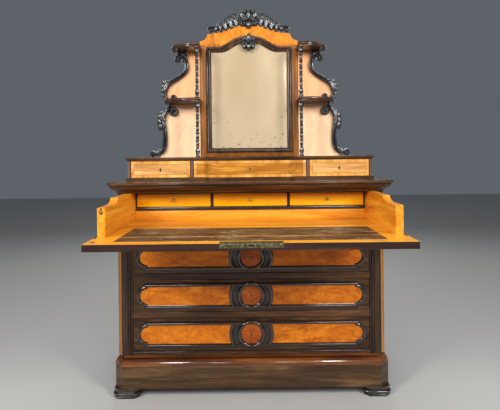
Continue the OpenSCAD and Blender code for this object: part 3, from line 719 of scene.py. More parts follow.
def leather():
    """Dark writing leather, worn pale in patches and scratched."""
    s = Shader("worn_leather")
    cloud = s.speckle((7, 11, 7), 4, 0.6, warp=0.8)
    grain = s.noise(s.place, 420, 2, 0.6)
    base = s.ramp(cloud, (0.32, (0.030, 0.013, 0.005)), (0.5, (0.085, 0.042, 0.015)),
                  (0.68, (0.17, 0.092, 0.036)))
    line = s.speckle((15, 34, 15), 5, 0.72, (2, 5, 0), 1.4)
    thin = s.span(s.math("ABSOLUTE", s.math("SUBTRACT", line, 0.5)), 0.006, 0.016, 1, 0)
    patch = s.speckle((8, 16, 8), 2, 0.5, (1, 0, 0))
    mark = s.math("MULTIPLY", thin, s.span(patch, 0.50, 0.60, 0, 0.9))
    rub = s.span(s.speckle((22, 60, 22), 4, 0.75, (0, 4, 0)), 0.62, 0.68, 0, 0.5)
    pale = s.math("MAXIMUM", mark, s.math("MULTIPLY", rub, s.span(patch, 0.45, 0.6, 0, 1)))
    colour = s.mix(pale, base, (0.78, 0.62, 0.42))
    s.bump(s.math("ADD", grain, s.math("MULTIPLY", cloud, 1.5)), 0.25, 0.0008)
    return s.finish(colour, s.span(grain, 0.3, 0.7, 0.38, 0.55), 0.1, specular=0.35)


flap_mat = flap_wood()
leather_mat = leather()
lock_brass = metal("lock_brass", (0.045, 0.040, 0.018), (0.34, 0.31, 0.17), 0.42)
# Small drawers' satinwood, brighter than the case's own: its real tone plus painted light.
small_front_gold_painted_light = wood("satinwood_painted_light", "x", dark=(0.78, 0.27, 0.002), middle=(0.97, 0.42, 0.003),
                   light=(1.0, 0.56, 0.010), rough=0.3, coat=0.3, pores=0.08, blotch=0.35,
                   shift=6.0)
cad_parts["flap_board"].data.materials[0] = flap_mat


APRON_TOP, SHELF_TOP, DIVIDER_TOP = 0.802, 0.817, 0.879  # heights in the writing case
DIVIDER_X = 0.17467
SLIP = 0.0002  # the gap between two boards of one piece


def make_writing_case():
    shape = Shape()
    low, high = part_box("writing_case")
    wall = high.x
    face = depth(0.072)
    thin = 0.005
    shape.board((-wall, face, low.z), (wall, face + 0.012, APRON_TOP), 0)
    shape.board((-wall, face - 0.006, APRON_TOP + SLIP), (wall, high.y, SHELF_TOP), 1, 0.0035)
    uprights = [(x - thin, x + thin, 0.002) for x in (-DIVIDER_X, DIVIDER_X)]
    uprights += [(x, x + thin, 0.0015) for x in (-wall, wall - thin)]
    for x0, x1, ease in uprights:
        shape.board((x0, face + 0.001, SHELF_TOP + SLIP), (x1, high.y, DIVIDER_TOP), 1, ease)
    shape.board((-wall, face - 0.002, DIVIDER_TOP + SLIP), (wall, high.y, high.z), 1)
    shape.build("writing_case", (gold_x, black), "writing_drawer", "satinwood",
                ["writing_case"])


def make_small_drawers():
    for side in ("left", "middle", "right"):
        node = "small_drawer_" + side
        low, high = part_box(node)
        shape = Shape()
        shape.board((low.x, low.y, low.z), (high.x, low.y + 0.010, high.z), 0, 0.002)
        drawer_box(shape, (low.x, low.y + 0.0102, low.z), (high.x, high.y, high.z - 0.003),
                   0.006, 1)
        shape.build("small_front_" + side, (small_front_gold_painted_light, pine_y, pine_x), node, "satinwood",
                    [node])
        knob = Shape()
        low_k, high_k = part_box("small_knob_" + side)
        mid = ((low_k.x + high_k.x) / 2, high_k.y, (low_k.z + high_k.z) / 2)
        lathe(knob, mid, [(0.0062, 0), (0.0064, 0.0006), (0.0058, 0.0012), (0.0036, 0.0014),
                          (0.0026, 0.0026), (0.0026, 0.0050), (0.0044, 0.0062),
                          (0.0062, 0.0080), (0.0065, 0.0098), (0.0058, 0.0122),
                          (0.0038, 0.0138), (0.0010, 0.0143)], 28, "y")
        knob.build("knob_" + side, brass, node, "brass", ["small_knob_" + side], angle=50)


def make_leather():
    for node, body in (("desk_leather", "writing_drawer"), ("flap_leather", "flap")):
        low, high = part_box(node)
        shape = Shape()
        rings = []
        steps, rows = 90, 6
        turned_down = 0.0007
        for j in range(rows + 1):
            y = low.y + (high.y - low.y) * j / rows
            ring = [(high.x, y, low.z), (low.x, y, low.z)]
            for k in range(steps + 1):
                x = low.x + (high.x - low.x) * k / steps
                inside = 0 < j < rows and 0 < k < steps
                wave = 0.00018 * math.sin(37 * x + 60 * y)
                ring.append((x, y, high.z + (wave if inside else -turned_down)))
            rings.append(ring)
        shape.loft(rings)
        shape.build(node + "_sheet", leather_mat, body, "desk_leather", [node], angle=60)


def screw(shape, x, y, z, r, axis):
    """A domed screw head."""
    lathe(shape, (x, y, z), [(r, -0.0006), (r, 0.0001), (r * 0.8, 0.0004), (r * 0.3, 0.0006),
                             (r * 0.05, 0.0006)], 16, axis)


def make_flap_lock():
    shape = Shape()
    low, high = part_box("flap_lock")
    top = high.z
    back = high.y
    face = low.y
    shape.board((low.x, face + 0.0017, top - 0.0014), (high.x, back, top), 0, 0.0006)
    shape.board((low.x, face, low.z), (high.x, face + 0.0014, top), 0, 0.0006)
    for x in (low.x + 0.009, low.x + 0.062, high.x - 0.062, high.x - 0.009):
        screw(shape, x, back - 0.008, top, 0.0034, "z")
    # Dark slots for the hooks: painted shade in the openings.
    for x in (low.x + 0.060, high.x - 0.060):
        shape.board((x - 0.016, face + 0.012, top - 0.0008), (x + 0.016, face + 0.019,
                                                             top + 0.0002), 1, 0.0004)
    mid = (low.x + high.x) / 2
    shape.board((mid - 0.030, face + 0.006, top - 0.0006), (mid + 0.030, back - 0.004,
                                                           top + 0.0008), 0, 0.0008)
    screw(shape, mid, face + 0.018, top + 0.0008, 0.0052, "z")
    for x in (low.x + 0.012, high.x - 0.012):
        screw(shape, x, face, (low.z + top) / 2, 0.0030, "y")
    # The key slot: a dark plate painted as the shade in the opening.
    shape.board((mid - 0.010, face - 0.0001, low.z + 0.004), (mid + 0.010, face + 0.001,
                                                             top - 0.004), 1, 0.0004)
    shape.build("desk_lock", (lock_brass, dark_iron_and_hole_shade), "flap", "brass", ["flap_lock"],
                angle=40)


def make_catch_hole():
    """The empty peg hole above the catch, in the end of the left side: a dark disc painted as the shade
    inside the hole.
    """
    low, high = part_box("catch_button")
    shape = Shape()
    centre = ((low.x + high.x) / 2, depth(-0.339) + 0.0005, (low.z + high.z) / 2 + 0.0125)
    lathe(shape, centre, [(0.0038, -0.002), (0.0038, 0.0006), (0.0005, 0.0007)], 20, "y")
    shape.build("peg_hole", dark_iron_and_hole_shade, "writing_drawer", "satinwood")


EASED = {
    0.001: ("writing_bottom", "writing_back", "side_panels", "gradin_dividers", "drawer_rails"),
    0.0012: ("flap_board", "gradin_sides"), 0.0015: ("writing_side_left", "writing_side_right"),
    0.002: ("top_board",), 0.0025: ("gradin_base", "gradin_top"),
}


def ease_kept():
    """Eased edges on the boards that keep their design shape."""
    for width, nodes in EASED.items():
        for node in nodes:
            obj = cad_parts[node]
            weld = obj.modifiers.new("joined_points", "WELD")
            weld.merge_threshold = 0.00002
            soften(obj, width)


make_writing_case()
make_small_drawers()
make_leather()
make_flap_lock()
make_catch_hole()
ease_kept()


# ---------------------------------------------------------------- gradin drawers
BREAK_X, BREAK_RUN, BREAK_DEPTH = 0.223, 0.049, 0.035  # where the front swells forward


def breakfront_path(half, front):
    """The drawer's front line: flat, an ogee forward, flat, and back again."""
    steps = 18
    out = [(-half, front)]
    out += [(-BREAK_X + BREAK_RUN * k / steps, front - BREAK_DEPTH * smooth(k / steps))
            for k in range(steps + 1)]
    out += [(x, front - BREAK_DEPTH) for x in (-0.12, -0.06, 0.0)]
    return out + [(-x, y) for x, y in reversed(out[:-1])]


def split_path(path, cuts):
    """Adds points to a line of (x, y) at the given x positions."""
    out = []
    for (xa, ya), (xb, yb) in zip(path, path[1:]):
        out.append((xa, ya))
        for x in sorted(cuts):
            if xa + 1e-6 < x < xb - 1e-6:
                out.append((x, ya + (yb - ya) * (x - xa) / (xb - xa)))
    return out + [path[-1]]


def banded_front(shape, path, back, z0, z1, band, line):
    """A drawer front with a crossbanded border, a fine dark line and a middle field."""
    half_a, half_b = path[0][0], path[-1][0]
    path = split_path(path, (half_a + band, half_a + band + line, half_b - band - line,
                             half_b - band))
    ease = 0.0012
    heights = [z0 + ease, z0 + band, z0 + band + line, z1 - band - line, z1 - band, z1 - ease]
    start = len(shape.points)
    rows = [z0, *heights, z1]
    for k, (x, y) in enumerate(path):
        edge = k in (0, len(path) - 1)
        for j, z in enumerate(rows):
            rounded = ease if j in (0, len(rows) - 1) or edge else 0.0
            shape.points.append((x, y + rounded, z))
        shape.points += [(x, back, z1), (x, back, z0)]
    n = len(rows)
    ring = n + 2
    for k in range(len(path) - 1):
        mid = (path[k][0] + path[k + 1][0]) / 2
        near = min(mid - half_a, half_b - mid)
        for j in range(ring):
            level = min(j, n - 2 - j)
            border = near < band or level <= 1
            lined = not border and (near < band + line or level == 2)
            if near < band and level > 1:
                mark = 1
            elif border:
                mark = 0
            else:
                mark = 2 if lined else 3
            a = start + k * ring + j
            b = start + k * ring + (j + 1) % ring
            shape.faces.append((a, a + ring, b + ring, b))
            shape.marks.append(mark)
    for a in (start, start + (len(path) - 1) * ring):
        shape.faces.append(tuple(range(a, a + ring)))
        shape.marks.append(0)


band_x = wood("satinwood_banding_up", "z", dark=(0.46, 0.16, 0.02), middle=(0.74, 0.32, 0.05),
              light=(0.90, 0.50, 0.13), size=0.9, pores=0.15, blotch=0.3, coat=0.9, shift=1.0)
band_z = wood("satinwood_banding_along", "x", dark=(0.44, 0.15, 0.02),
              middle=(0.70, 0.29, 0.05), light=(0.88, 0.48, 0.13), size=0.9, pores=0.15,
              blotch=0.3, coat=0.9, shift=3.0)
field_gold = wood("satinwood_field", "x", dark=(0.28, 0.092, 0.007), middle=(0.48, 0.172, 0.014),
                  light=(0.76, 0.34, 0.05), rough=0.30, coat=0.9, streak=1.5, pores=0.3,
                  blotch=0.35, shift=8.0)
# Paler, pinker copy of the field for the side drawers: painted sheen.
field_painted_sheen = wood("satinwood_field_painted_sheen", "x", dark=(0.44, 0.19, 0.045),
                  middle=(0.70, 0.34, 0.10), light=(0.88, 0.52, 0.21), rough=0.30, coat=0.9,
                  streak=1.5, pores=0.3, blotch=0.35, shift=9.0)


GRADIN_LOW, GRADIN_HIGH = 0.948, 1.026  # bottom and top of the small drawers' fronts
GRADIN_TOP = 1.044  # the mirror, scrolls and columns stand at this height


def make_gradin_drawers():
    face = depth(0.140)
    z0, z1 = GRADIN_LOW, GRADIN_HIGH
    middle_z = (z0 + z1) / 2
    for side in ("left", "middle", "right"):
        node = "gradin_drawer_" + side
        low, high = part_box(node)
        shape = Shape()
        if side == "middle":
            path = breakfront_path(0.265, face)
        else:
            path = [(low.x + (high.x - low.x) * k / 8, face) for k in range(9)]
        band_front = min(y for x, y in path)
        banded_front(shape, path, face + 0.018, z0, z1, 0.0135, 0.0011)
        drawer_box(shape, (path[0][0] + 0.002, face + 0.0182, z0),
                   (path[-1][0] - 0.002, high.y, z1 - 0.006), 0.008, 4)
        # The middle drawer keeps the plain field; the side drawers get the copy with painted sheen.
        field = field_gold if side == "middle" else field_painted_sheen
        mats = (band_x, band_z, rose_lit, field, pine_y, pine_x)
        shape.build("gradin_front_" + side, mats, node, "satinwood", [node], angle=35)
        lock = Shape()
        mid = (path[0][0] + path[-1][0]) / 2
        lathe(lock, (mid, band_front, middle_z), [(0.0062, -0.0004), (0.0062, 0.0003),
                                                  (0.0052, 0.0007), (0.0046, 0.0004),
                                                  (0.0004, 0.0004)], 28, "y", 0)
        keyhole(lock, mid, band_front - 0.0003, middle_z, 0.0068, rim=1)
        lock.board((mid - 0.018, face + 0.0185, middle_z - 0.015),
                   (mid + 0.018, face + 0.0265, middle_z + 0.015))
        lock.build("gradin_lock_" + side, (brass, dark_iron_and_hole_shade), node, "brass")


divider_wood = wood("gradin_stiles", "z", dark=(0.05, 0.03, 0.022), middle=(0.115, 0.068, 0.05),
                    light=(0.21, 0.13, 0.09), rough=0.26, coat=0.6, shift=2.0)
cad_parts["gradin_dividers"].data.materials[0] = divider_wood
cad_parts["gradin_sides"].data.materials[0] = divider_wood
make_gradin_drawers()


# ---------------------------------------------------------------- mirror
MIRROR = depth(0.480)  # front plane of the mirror's surround
SURROUND_HALF = 0.271
SURROUND_SIDE = 1.682  # height of its straight sides
ARCH_RISE = 0.048


def arch(half, bottom, side_top, rise):
    """Arched outline: straight sides, S-curved shoulders and a level crown."""
    steps = 22
    x_out, x_in = half - 0.054, half * 0.15
    right = [(half, bottom), (half, (bottom + side_top) / 2), (half, side_top)]
    right += [(x_out + (x_in - x_out) * k / steps, side_top + rise * smooth(k / steps))
              for k in range(steps + 1)]
    right.append((0.0, side_top + rise))
    return right + [(-x, z) for x, z in reversed(right[:-1])]


def fill(shape, loops, place, mark=0):
    """Fills flat outlines, later ones being holes."""
    work = bmesh.new()
    for loop in loops:
        points = [work.verts.new((x, z, 0)) for x, z in loop]
        for a, b in zip(points, points[1:] + points[:1]):
            work.edges.new((a, b))
    bmesh.ops.triangle_fill(work, use_beauty=True, edges=work.edges[:], normal=(0, 0, 1))
    work.verts.index_update()
    shape.add([place(v.co.x, v.co.y) for v in work.verts],
              [[v.index for v in face.verts] for face in work.faces], mark)
    work.free()


def inset(path, by):
    """A closed outline drawn in by a distance, whichever way it runs."""
    area = sum(a[0] * b[1] - b[0] * a[1] for a, b in zip(path, path[1:] + path[:1]))
    by = by if area < 0 else -by
    return [(p[0] + m.x * by, p[1] + m.y * by) for p, m in zip(path, mitres(path, True))]


def surround_top():
    """The surround's upper edge, right to left."""
    nick_x, nick_z, steps = 0.042, 0.040, 16
    shoulder = SURROUND_SIDE + nick_z
    out = [(SURROUND_HALF, SURROUND_SIDE)]
    out += arc(SURROUND_HALF, shoulder, nick_x, -90, -180, 15, ry=nick_z)
    out += [((SURROUND_HALF - nick_x) * (1 - k / steps), shoulder + 0.050 * smooth(k / steps))
            for k in range(1, steps + 1)]
    return out + [(-x, z) for x, z in reversed(out[:-1])]


def make_surround():
    shape = Shape()
    outer = [(SURROUND_HALF, GRADIN_TOP), *surround_top(), (-SURROUND_HALF, GRADIN_TOP)]
    hole = arch(0.222, 1.077, 1.633, ARCH_RISE)
    ease = 0.0015
    front, back = MIRROR, MIRROR + 0.024
    small = inset(outer, ease)
    fill(shape, [small, hole], lambda x, z: (x, front, z))
    fill(shape, [outer, hole], lambda x, z: (x, back, z), 1)
    shape.loft([[(x, front, z) for x, z in small], [(x, front + ease, z) for x, z in outer],
                [(x, back, z) for x, z in outer]], caps=False)
    shape.loft([[(x, y, z) for x, z in hole] for y in (front, back)], caps=False)
    shape.build("mirror_surround", (surround_wood, pine_z), "case", "satinwood",
                ["mirror_surround"])
    edge = Shape()
    top = 1.648
    inner, width, steps = 0.2375, 0.0325, 10
    section = [(inner + width * k / steps, 0.0045 * abs(math.sin(math.pi * k / steps)) ** 0.6)
               for k in range(1, steps)]
    section = [(inner, 0), *section, (inner + width, 0)]
    edge.loft([[(x, MIRROR - up * grow + 0.0003, z) for x, up in section]
               for z, grow in ((GRADIN_TOP, 1), (top - 0.02, 1), (top, 0.75), (top + 0.012, 0.1))])
    edge.mirror_x()
    edge.build("mirror_stiles", stile_wood, "case", "satinwood")


def make_frame():
    shape = Shape()
    inner = arch(0.208, 1.091, 1.619, ARCH_RISE)
    outer = arch(0.235, 1.067, 1.648, 0.058)
    section = ([(0, 0.0), (0, 0.0035), (0.04, 0.0050), (0.10, 0.0050), (0.14, 0.0038),
                (0.17, 0.0038), (0.20, 0.0050)]
               + [(0.20 + 0.36 * k / 8, 0.0050 + 0.0065 * (k / 8) ** 2) for k in range(1, 9)]
               + [(0.585, 0.0122)]
               + arc(0.70, 0.0098, 0.115, 170, 10, 8, ry=0.0042)
               + [(0.84, 0.0072), (0.88, 0.0064), (0.97, 0.0064), (1.0, 0.0052), (1.0, 0)])
    rings = []
    for (xi, zi), (xo, zo) in zip(inner, outer):
        rings.append([(xi + (xo - xi) * f, MIRROR - 0.0002 - up, zi + (zo - zi) * f)
                      for f, up in section])
    shape.loft(rings, round_path=True)
    shape.build("mirror_frame", frame_wood, "case", "ebonised", ["mirror_frame"], angle=28)


def make_glass():
    """Plate with a bevelled border; flat in the middle."""
    shape = Shape()
    half, half_height, middle = 0.221, 0.30, 1.36
    outer = arch(half, 1.078, 1.632, ARCH_RISE)
    shape.loft([[(x * (1 - f / half), MIRROR + y, middle + (z - middle) * (1 - f / half_height))
                 for x, z in outer]
                for f, y in ((0.0, 0.0040), (0.0, 0.0004), (0.013, 0.0004), (0.032, 0.0))])
    shape.build("mirror_glass", silvered, "case", "mirror_glass", ["mirror_glass"], angle=1)


def silver():
    """Old silvering: warm, a little clouded, with foxing towards the sides, and spots that thicken
    towards the bottom as painted shade.
    """
    s = Shader("old_silvering")
    x, _, z = s.axes()
    side = s.span(s.math("ABSOLUTE", x), 0.12, 0.215, 0, 1)
    # Spots grow towards the bottom as painted shade, for the darker reflection low on the glass.
    low = s.span(z, 1.30, 1.10, 0, 1)
    edge = s.math("MAXIMUM", side, low)
    spots = s.speckle((70, 70, 70), 4, 0.7)
    cut = s.math("SUBTRACT", spots, s.span(edge, 0, 1, 0.72, 0.60))
    spot = s.span(cut, 0.0, 0.03, 0, 0.8)
    cloud = s.speckle((5, 5, 2.4), 3, 0.5)
    tint = s.ramp(cloud, (0.3, (0.70, 0.52, 0.31)), (0.7, (0.88, 0.69, 0.45)))
    return s.finish(s.mix(spot, tint, (0.13, 0.09, 0.05)), s.span(cloud, 0.3, 0.7, 0.03, 0.12),
                    metal=0.4)


def shaded_veneer(name, top, tone, low, high, contrast=1.0, gloss=0.2):
    """Veneer that changes tone over a stretch of height; on the étagère panels its paler lower tone is
    painted sheen.
    """
    s = Shader(name)
    flow = s.noise(s.scaled((16, 16, 5)), 1.6, 5, 0.6, warp=1.4)
    fleck = s.speckle((60, 60, 220), 3, 0.6)
    mixed = s.blend(flow, fleck, 0.75)
    dark, light = 1 - 0.45 * contrast, 1 + 0.5 * contrast
    bright, lower_ramp = [s.ramp(mixed, (0.34, [k * dark for k in mean]), (0.52, mean),
                            (0.7, [min(1, k * light) for k in mean])) for mean in (top, tone)]
    height = s.axes()[2]
    wave = s.math("ADD", height, s.math("MULTIPLY", s.math("SUBTRACT", flow, 0.5), 0.05))
    s.bump(fleck, 0.05, 0.0005)
    return s.finish(s.mix(s.span(wave, low, high, 0, 1), lower_ramp, bright), 0.32, gloss,
                    specular=0.2)


silvered = silver()
surround_wood = shaded_veneer("surround_veneer", (0.69, 0.215, 0.018), (0.20, 0.062, 0.006),
                            1.635, 1.675)
stile_wood = wood("stile_veneer", "z", dark=(0.07, 0.022, 0.003), middle=(0.19, 0.062, 0.008),
                  light=(0.34, 0.12, 0.015), rough=0.42, coat=0.05, pores=0.3, shift=5.0)
frame_wood = wood("frame_rosewood", "z", dark=(0.018, 0.008, 0.005),
                  middle=(0.055, 0.026, 0.015), light=(0.12, 0.06, 0.03), rough=0.2, coat=0.8,
                  shift=3.0)
# Étagère panels: orange veneer above, and a paler pink tone low down that is painted sheen.
etagere_panel_with_painted_sheen = shaded_veneer("panel_veneer", (0.84, 0.38, 0.155), (0.86, 0.53, 0.31), 1.27, 1.37,
                           0.3, 0.08)
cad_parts["etagere_panels"].data.materials[0] = etagere_panel_with_painted_sheen
make_surround()
make_frame()
make_glass()


# ---------------------------------------------------------------- shelves
COLUMN_X = 0.272
SHELF_EDGE = ((0, 0.0045), (0.0010, 0.0030), (0.0035, 0.0026), (0.0060, 0.0042),
              (0.0080, 0.0042), (0.0086, 0.0026), (0.0100, 0.0010), (0.0125, 0.0002),
              (0.0155, 0.0002), (0.0180, 0.0012), (0.0196, 0.0030), (0.0200, 0.0042),
              (0.0206, 0.0046))  # height up the moulded edge, and how far it is drawn in


def make_shelves():
    for node, reach, name in (("shelves_top", 0.426, "top_shelves"),
                              ("shelves_middle", 0.469, "middle_shelves")):
        low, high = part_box(node)
        shape = Shape()
        inner, start = 0.257, 0.279
        front, wall = depth(0.341), depth(0.476)
        rear, rear_inner = depth(0.4838), depth(0.4796)
        plan = [(inner, rear_inner), (inner, front), (start - 0.011, front),
                *arc(start, wall, reach - start, -90, 0, 18, ry=wall - front),
                (reach, rear), (COLUMN_X, rear), (COLUMN_X, rear_inner)]
        z0, z1 = low.z, high.z
        edge = [(z0 + up, draw) for up, draw in SHELF_EDGE] + [(z1 - 0.0012, 0.0040), (z1, 0.0055)]
        shape.loft([[(x, y, z) for x, y in inset(plan, draw)] for z, draw in edge])
        shape.mirror_x()
        shape.build(name, shelf_wood, "case", "rosewood", [node], angle=30)


shelf_wood = wood("shelf_rosewood", "x", dark=(0.02, 0.009, 0.006), middle=(0.065, 0.028, 0.016),
                  light=(0.15, 0.065, 0.025), rough=0.26, coat=0.5, shift=1.0)
make_shelves()


# ---------------------------------------------------------------- carving
def curve_at(points, t):
    """A point on a smooth line through the given points, with t from 0 to 1."""
    n = len(points) - 1
    k = min(int(t * n), n - 1)
    f = t * n - k
    p = [points[max(0, min(n, k + i))] for i in (-1, 0, 1, 2)]
    return tuple(0.5 * (2 * b + (c - a) * f + (2 * a - 5 * b + 4 * c - d) * f * f
                        + (3 * b - a - 3 * c + d) * f ** 3)
                 for a, b, c, d in zip(*p))


class Relief:
    """Carving in relief on an upright plane that looks to the front."""

    def __init__(self, back):
        self.back = back
        self.shape = Shape()

    def strip(self, points, half, section, steps):
        """A strip along a line; section gives (across, up) from the place along it."""
        line = [curve_at(points, k / steps) for k in range(steps + 1)]
        rings = []
        for k, ((x, z), m) in enumerate(zip(line, mitres(line, False))):
            t = k / steps
            w = half(t)
            rings.append([(x + m.x * w * u, self.back - up, z + m.y * w * u)
                          for u, up in section(t)])
        self.shape.loft(rings)

    def leaf(self, points, width, height, base=0.0, lobes=3, steps=22, tip=0.75):
        """A veined, scalloped leaf; a low tip makes its end round instead of pointed."""
        def half(t):
            body = math.sin(math.pi * min(1.0, 0.12 + 0.88 * t ** 0.8)) ** tip
            return max(0.0008, 1.45 * width * body * (1 - 0.18 * abs(math.sin(math.pi * lobes * t))))

        def section(t):
            lift = height * (0.30 + 0.70 * math.sin(math.pi * min(1, 0.25 + 0.72 * t)) ** 0.7)
            out = [(-1, 0.0)]
            for k in range(13):
                u = -1 + k / 6
                ridge = (1 - u * u) ** 0.6 - 0.30 * math.exp(-(u / 0.16) ** 2)
                ridge += 0.07 * math.cos(3 * math.pi * u) * (1 - u * u)
                out.append((u * 0.999, base + lift * max(0.12, ridge)))
            return out + [(1, 0.0)]
        self.strip(points, half, section, steps)

    def stem(self, points, widths, height, base=0.0, groove=0.35, steps=40):
        """A rounded stem with a groove along its top."""
        def half(t):
            return curve_at([(w, 0) for w in widths], t)[0]

        def section(t):
            out = [(-1, 0.0), (-1.0, base + height * 0.25)]
            for k in range(1, 16):
                a = math.pi * k / 16
                dent = 1 - groove * math.exp(-((a - math.pi / 2) / 0.30) ** 2)
                out.append((-math.cos(a), base + height * (0.25 + 0.75 * math.sin(a)) * dent))
            return out + [(1.0, base + height * 0.25), (1, 0.0)]
        self.strip(points, half, section, steps)

    def dome(self, x, z, r, height, base=0.0):
        brim = base + height * 0.1
        profile = [(r, 0.0), (r, brim), *arc(0, brim, r, 12, 84, 6, ry=height * 0.9),
                   (0.0004, base + height)]
        lathe(self.shape, (x, self.back, z), profile, 24, "y")

    def volute(self, x, z, r, height, start, hand=1, turns=1.6):
        """A scroll end: a rope that winds in to a round eye."""
        self.dome(x, z, r * 0.97, height * 0.52)
        line = []
        for k in range(37):
            t = k / 36
            a = math.radians(start) + hand * t * turns * 2 * math.pi
            q = r * (0.78 - 0.60 * t)
            line.append((x + q * math.cos(a), z + q * math.sin(a)))
        self.stem(line, [r * 0.24, r * 0.20, r * 0.12], height * 0.62, height * 0.22, 0.0, 60)
        self.dome(x, z, r * 0.22, height * 0.35, height * 0.65)

    def build(self, name, node):
        self.shape.mirror_x()
        self.shape.build(name, black, "case", "ebonised", [node], angle=50)


def bowed(a, b, bow):
    """A line of three points that bows to the right of travel."""
    (ax, az), (bx, bz) = a, b
    return [a, ((ax + bx) / 2 + (bz - az) * bow, (az + bz) / 2 - (bx - ax) * bow), b]


def make_crest():
    r = Relief(depth(0.4798))
    r.stem([(0.040, 1.797), (0.086, 1.793), (0.117, 1.775), (0.152, 1.756), (0.183, 1.747),
            (0.207, 1.743)], [0.026, 0.026, 0.022, 0.015, 0.011, 0.008], 0.006, groove=0)
    r.stem([(0.0, 1.785), (0.045, 1.785)], [0.026, 0.024], 0.006, groove=0, steps=6)
    for a, b, width in (((0.058, 1.816), (0.064, 1.760), 0.0125),
                        ((0.080, 1.818), (0.092, 1.748), 0.0140),
                        ((0.106, 1.802), (0.123, 1.738), 0.0140),
                        ((0.132, 1.782), (0.152, 1.730), 0.0125),
                        ((0.158, 1.766), (0.180, 1.727), 0.0100)):
        r.leaf(bowed(a, b, -0.20), width, 0.0135, 0.003, 1, tip=0.45)
    r.stem([(0.046, 1.806), (0.072, 1.823), (0.098, 1.815), (0.125, 1.790), (0.155, 1.766),
            (0.185, 1.757), (0.208, 1.757), (0.222, 1.746)],
           [0.008, 0.0095, 0.009, 0.008, 0.007, 0.0065, 0.006, 0.005], 0.014, 0.002, 0.3)
    r.volute(0.211, 1.741, 0.014, 0.014, 40, -1, 1.1)
    r.stem([(0.0, 1.768), (0.0, 1.852)], [0.034, 0.038, 0.030, 0.014], 0.008, groove=0, steps=16)
    r.volute(0.034, 1.777, 0.0170, 0.017, 90, 1, 1.5)
    r.leaf(bowed((0.016, 1.792), (0.047, 1.832), -0.05), 0.0120, 0.013, 0.004, 1, tip=0.4)
    r.leaf(bowed((0.010, 1.798), (0.029, 1.852), 0.08), 0.0115, 0.014, 0.005, 1, tip=0.4)
    r.leaf([(0.0, 1.800), (0.0, 1.834), (0.0, 1.8625)], 0.0125, 0.0155, 0.0052, 1, tip=0.4)
    r.leaf([(0.0, 1.782), (0.0, 1.765), (0.0, 1.749)], 0.0135, 0.015, 0.005, 1, tip=0.4)
    r.stem([(-0.028, 1.836), (-0.004, 1.806), (0.028, 1.786)], [0.0050, 0.0058, 0.0050],
           0.0195, 0.001, 0.15, 20)
    r.dome(0.0, 1.777, 0.009, 0.0215)
    r.build("crest", "crest_carving")


def make_cartouche():
    r = Relief(depth(0.4656))
    r.stem([(0.0, 1.668), (0.034, 1.668)], [0.034, 0.022], 0.005, groove=0, steps=8)
    r.leaf(bowed((0.008, 1.680), (0.022, 1.708), 0.10), 0.0090, 0.012, 0.003, 1, tip=0.4)
    r.leaf(bowed((0.008, 1.658), (0.028, 1.634), -0.15), 0.0105, 0.012, 0.003, 1, tip=0.4)
    r.volute(0.0310, 1.659, 0.0135, 0.0150, 150, 1, 1.4)
    r.leaf([(0.0, 1.682), (0.0, 1.702), (0.0, 1.7185)], 0.0100, 0.014, 0.004, 1, tip=0.4)
    r.leaf([(0.0, 1.658), (0.0, 1.640), (0.0, 1.6215)], 0.0115, 0.014, 0.004, 1, tip=0.4)
    r.stem([(-0.020, 1.699), (-0.003, 1.674), (0.022, 1.664)], [0.0038, 0.0044, 0.0038],
           0.0180, 0.001, 0.1, 18)
    r.build("cartouche", "mirror_cartouche")


